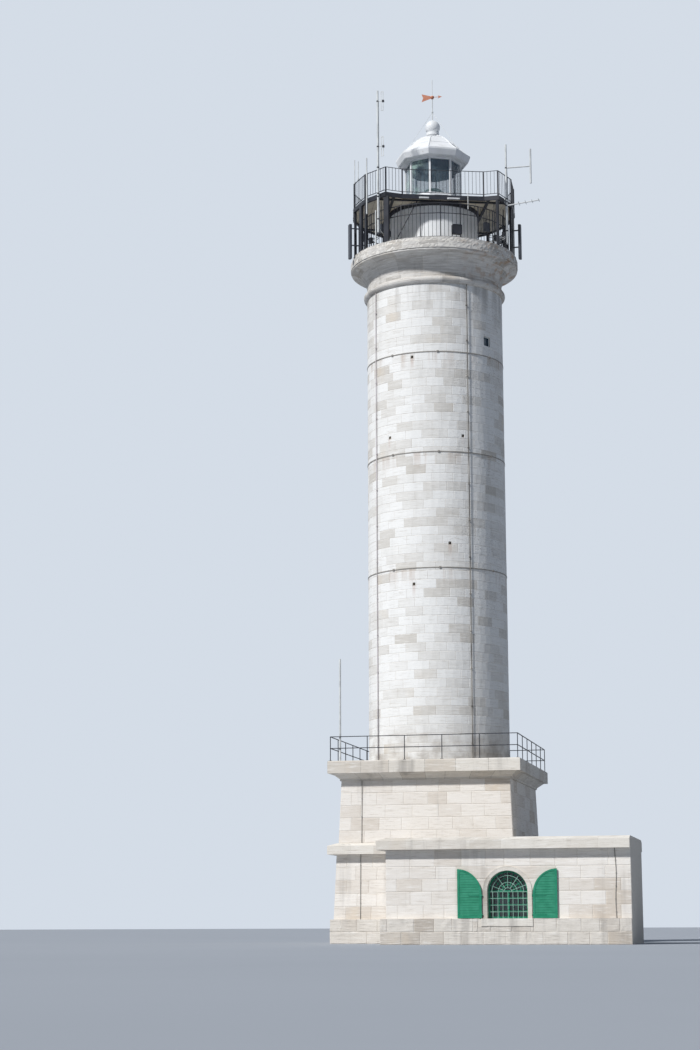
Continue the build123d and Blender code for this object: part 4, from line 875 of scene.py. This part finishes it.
def fourBolts(plate, reach, azimuths, inset):
    (wide, deep), thick = plate
    wide, deep, z = wide - inset, deep - inset, slabHigh + thick - 0.001
    return turned([(x, y - reach, z) for x in (-wide, wide) for y in (-deep, deep)], azimuths)


plates("postShoes", *deck["plate"], (0, -deck["post"], slabHigh), postTurns, "dark_iron")
plates("railShoes", *deck["railPlate"], (0, -deck["rail"], slabHigh), railTurns, "dark_iron")
studs("shoeBolts", np.concatenate([fourBolts(deck["plate"], deck["post"], postTurns, 0.02),
                                   fourBolts(deck["railPlate"], deck["rail"], railTurns, 0.015)]),
      upwards, hexHead, 6)

middles = (postTurns[:-1] + postTurns[1:]) / 2
edgeReach = deck["radius"] * math.cos(math.radians(sideStep / 2))
sidePairs = [(x, -edgeReach, deck["low"] + z) for x in deck["sideBolts"] for z in (0.045, 0.145)]
frontPairs = [(x, -deck["edge"], deck["low"] + z) for x in deck["bolts"] for z in (0.09, 0.16)]
rows = ((sidePairs, middles), (frontPairs, frontMiddle))
studs("deckBolts", np.concatenate([turned(pairs, turns) for pairs, turns in rows]),
      np.concatenate([turned([frontwards] * len(pairs), turns) for pairs, turns in rows]), deck["profile"], 6)

masts = {"radius": 0.042, "off": 0.06, "left": 0.32, "right": -0.13, "feeds": (33.69, 35.75),
         "ties": ((31.405, 31.545, 30.4, 32.72, 33.66, 35.72), (31.405, 31.545, 30.1, 31.24, 32.95)),
         "band": [(0.04, 0), (0.049, 0.004), (0.049, 0.056), (0.04, 0.06)], "arm": (0.245, -0.05),
         "feedBox": [(0.055, 0), (0.062, 0.008), (0.062, 0.092), (0.055, 0.1)]}
mastReach = edgeReach + masts["off"] + masts["radius"]
leftMast = turned([(masts["left"], -mastReach, 0)], deck["front"][0] - sideStep / 2)[0]
rightMast = turned([(masts["right"], -mastReach, 0)], deck["front"][1] + sideStep / 2)[0]
spots = [(*mast[:2], z) for mast, ties in zip((leftMast, rightMast), masts["ties"]) for z in ties]
studs("mastBands", spots, upwards, masts["band"], 14)
spots = [(leftMast[0] + masts["arm"][0], leftMast[1] + masts["arm"][1], z) for z in masts["feeds"]]
studs("feedBoxes", spots, (0, 1.0, 0), masts["feedBox"], 4, turn=math.pi / 4)


def sagged(start, end, sag, count=9):
    # A cable between two points that hangs by sag in the middle
    t = np.linspace(0, 1, count)[:, None]
    return np.array(start) * (1 - t) + np.array(end) * t - np.array(upwards) * sag * 4 * t * (1 - t)


def tiedTo(mast, offset, low, high, wobble=0.004):
    # A cable tied along a mast, from high down to low
    z = np.linspace(high, low, 14)
    x, y = mast[0] + offset[0] + wobble * np.sin(z * 7), mast[1] + offset[1] + wobble * np.cos(z * 5)
    return np.stack([x, y, z], -1)


cables = {"radius": 0.009, "gap": 0.05, "drum": 1.93}
gap = cables["gap"]
runs = [tiedTo(leftMast, (gap, 0.01), 30.0, 35.74), tiedTo(leftMast, (-0.01, gap), 30.0, 33.68),
        tiedTo(rightMast, (gap * 0.9, 0.02), 29.9, 32.97), tiedTo(rightMast, (-gap, 0.01), 29.9, 31.28)]
drumLeft, drumRight = azimuthPoint(cables["drum"], -40.0, 29.75), azimuthPoint(cables["drum"], 62.0, 29.7)
drops = ((0, drumLeft, 0.16), (2, drumRight, 0.2), (1, drumLeft + (0, 0, 0.12), 0.11),
         (3, drumRight + (0, 0, 0.1), 0.12))
runs += [sagged(runs[i][-1], end, sag) for i, end, sag in drops]
tubes("mastCables", runs, cables["radius"], 6, "mast_paint")

boxes = {"tall": (-57, -36, 55, 83), "tallSize": ((0.14, 0.07), 0.42), "tallFoot": 29.95,
         "short": (-48, -27, 66, 74, 92), "shortSize": ((0.09, 0.06), 0.26), "shortFoot": 29.7,
         "reach": 3.205, "cable": 0.013, "apart": 0.9, "risers": (-57, -36, 55, 83, 66)}
tallTop, shortTop = (boxes[kind + "Foot"] + boxes[kind + "Size"][1] for kind in ("tall", "short"))
plates("junctionBoxes", *boxes["tallSize"], (0, -boxes["reach"], boxes["tallFoot"]), boxes["tall"],
       "aerial_case")
plates("switchBoxes", *boxes["shortSize"], (0, -boxes["reach"] - 0.01, boxes["shortFoot"]), boxes["short"],
       "aerial_case")
runs = []
for side in (-1, 1):
    turns = np.array(sorted(turn for turn in boxes["tall"] + boxes["short"] if turn * side > 0))
    spots = azimuthPoint(boxes["reach"] - 0.05, turns, shortTop + 0.01)
    runs += [sagged(a, b, sag) for sag in (0.1, 0.19) for a, b in zip(spots[:-1], spots[1:])]
for turn in boxes["risers"]:
    z = np.linspace((tallTop if turn in boxes["tall"] else shortTop) - 0.01, deck["low"] - 0.01, 3)
    runs += [azimuthPoint(boxes["reach"] - 0.03, turn + shift * boxes["apart"], z) for shift in (-1, 1)]
tubes("railCables", runs, boxes["cable"], 6, "dark_iron")


# The lantern's dome, eave, bars and lens

roof = {"turn": 3.3, "eaveTop": 34.13, "seams": ((1.17, 0.395), (0.64, 0.84)), "seam": 0.011,
        "steps": ((1.63, 0.0), (1.4, 0.185), (1.17, 0.395), (1.06, 0.52), (0.84, 0.71), (0.64, 0.84),
                  (0.4, 0.955)),
        "rivets": {"every": 0.11, "beside": 0.045,
                   "profile": [(0.009, -0.004), (0.009, 0.001), (0.006, 0.004), (0.002, 0.005)]},
        "fascia": ((1.6, 34.1), (1.52, 33.95), (1.5, 33.802), (1.566, 33.83), (1.654, 34.052),
                   (1.654, 34.129))}
octagon = roof["turn"] + 45 * np.arange(9)
loops = [azimuthPoint(radius + 0.004, octagon, roof["eaveTop"] + rise + 0.004)
         for radius, rise in roof["seams"]]
tubes("domeSeams", loops, roof["seam"], 6, "white_paint")
spots, outward, rivets = [], [], roof["rivets"]
for (r0, h0), (r1, h1) in zip(roof["steps"][:-1], roof["steps"][1:]):
    run = math.hypot(r1 - r0, h1 - h0)
    count = max(2, round(run / rivets["every"]))
    t = (np.arange(count) + 0.5) / count
    radius, rise = r0 + (r1 - r0) * t, roof["eaveTop"] + h0 + (h1 - h0) * t
    for side in (-1, 1):
        for turn in octagon[:8]:
            shift = side * np.degrees(rivets["beside"] / radius)
            flat = math.cos(math.radians(22.5)) / np.cos(np.radians(22.5 - np.abs(shift)))
            spots.append(azimuthPoint(radius * flat - 0.001, turn + shift, rise))
            outward.append(azimuthPoint((h1 - h0) / run, turn + side * 22.5 + 0 * t, (r0 - r1) / run))
studs("domeRivets", np.concatenate(spots), np.concatenate(outward), rivets["profile"], 6, slot="white_paint")


def turnedRings(name, profiles, azimuths, slot):
    # Closed rings from closed profiles of (radius, height), turned round the shaft's axis
    parts = []
    for profile in profiles:
        profile = np.array(profile, float)
        index = np.arange(len(profile) * len(azimuths)).reshape(len(profile), -1)
        up, aside = np.roll(index, -1, 0), np.roll(index, -1, 1)
        faces = np.stack([index, aside, np.roll(up, -1, 1), up], -1).reshape(-1, 4).tolist()
        parts.append((azimuthPoint(profile[:, :1], azimuths, profile[:, 1:]).reshape(-1, 3), faces))
    return joinedPiece(name, parts, slot)


turnedRings("eaveFascia", [roof["fascia"]], octagon[:8], "white_paint")

bars = {"radius": 1.2575, "low": 32.2, "high": 33.7, "count": 9,
        "profile": [(0.009, 0), (0.009, 0.003), (0.006, 0.006), (0.002, 0.007)]}
levels = np.linspace(bars["low"], bars["high"], bars["count"])
spots = np.concatenate([azimuthPoint(bars["radius"] - 0.001, turn, levels) for turn in octagon[:8]])
studs("barScrews", spots, outwardAt(spots), bars["profile"], 8, slot="white_paint")

lens = {"low": 31.98, "high": 32.51, "rings": 7, "crown": ((0.39, 0.085), (0.3, 0.135), (0.2, 0.17)),
        "prism": ((0.488, 0.15), (0.517, 0.62), (0.5, 0.86), (0.486, 0.9)),
        "crownPrism": ((-0.02, -0.02), (0.02, -0.018), (-0.005, 0.022))}
step = (lens["high"] - lens["low"]) / lens["rings"]
prisms = [[(radius, lens["low"] + (ring + share) * step) for radius, share in lens["prism"]]
          for ring in range(lens["rings"])]
prisms += [[(radius + out, lens["high"] + rise + up) for out, up in lens["crownPrism"]]
           for radius, rise in lens["crown"]]
turnedRings("lensPrisms", prisms, np.arange(48) * 7.5, "lens_glass")

parts = []
for outer, inner, count in ((3.4, 2.67, 22), (2.66, 1.935, 17)):
    place, length, tall = aroundShaft([(outer, slabHigh), (inner, slabHigh)], outer)
    spans = courses(length, tall, [tall], length / count, closed=True, gap=0.012, spread=0.1)
    parts.append(stoneGrid(spans, place, across=4, **thin))
joinedPiece("galleryFlags", parts, "paving_stone", galleryStone)
print("head fittings")


# Floor, lights and background

stage = {"radius": 380, "floor": ((170, 175, 182), (164, 169, 176)), "sunTurn": -34.5, "sunRise": 42.5,
         "sun": 3.45, "soft": 4, "sky": 0.17, "skyColour": (0.74, 0.9, 1.18, 1), "shown": (0.66, 0.72, 0.8, 1)}
floorPoints = azimuthPoint(stage["radius"], np.arange(64) * 5.625, -0.003)
floorFinish = Finish("floor", 0.1, 0.9)
floorFinish.colour = floorFinish.mix(floorFinish.noise(0.08, 3), *stage["floor"])
floor = meshPiece("floor", floorPoints, [list(range(64))], None, floorFinish.done(), body=None)

sunData = bpy.data.lights.new("sun", "SUN")
sunData.energy, sunData.angle = stage["sun"], math.radians(stage["soft"])
rise = math.radians(stage["sunRise"])
toSun = Vector(azimuthPoint(math.cos(rise), stage["sunTurn"], math.sin(rise)))
sun = placed("sun", sunData)
sun.matrix_world = Matrix.Translation(toSun * 60) @ toSun.to_track_quat("Z", "Y").to_matrix().to_4x4()

world = bpy.data.worlds.new("world")
world.use_nodes = True
bpy.context.scene.world = world
tree, link = world.node_tree, world.node_tree.links.new
shown = tree.nodes["Background"]
shown.inputs["Color"].default_value = stage["shown"]
light = tree.nodes.new("ShaderNodeBackground")
light.inputs["Color"].default_value = stage["skyColour"]
light.inputs["Strength"].default_value = stage["sky"]
rays = tree.nodes.new("ShaderNodeLightPath")
seen = rays.outputs["Is Camera Ray"]
for kind in ("Is Glossy Ray", "Is Transmission Ray"):
    either = tree.nodes.new("ShaderNodeMath")
    either.operation = "MAXIMUM"
    link(seen, either.inputs[0])
    link(rays.outputs[kind], either.inputs[1])
    seen = either.outputs[0]
blend = tree.nodes.new("ShaderNodeMixShader")
for i, socket in enumerate((seen, light.outputs[0], shown.outputs[0])):
    link(socket, blend.inputs[i])
link(blend.outputs[0], tree.nodes["World Output"].inputs["Surface"])
bpy.context.scene.view_settings.view_transform = "Standard"
print("stage")
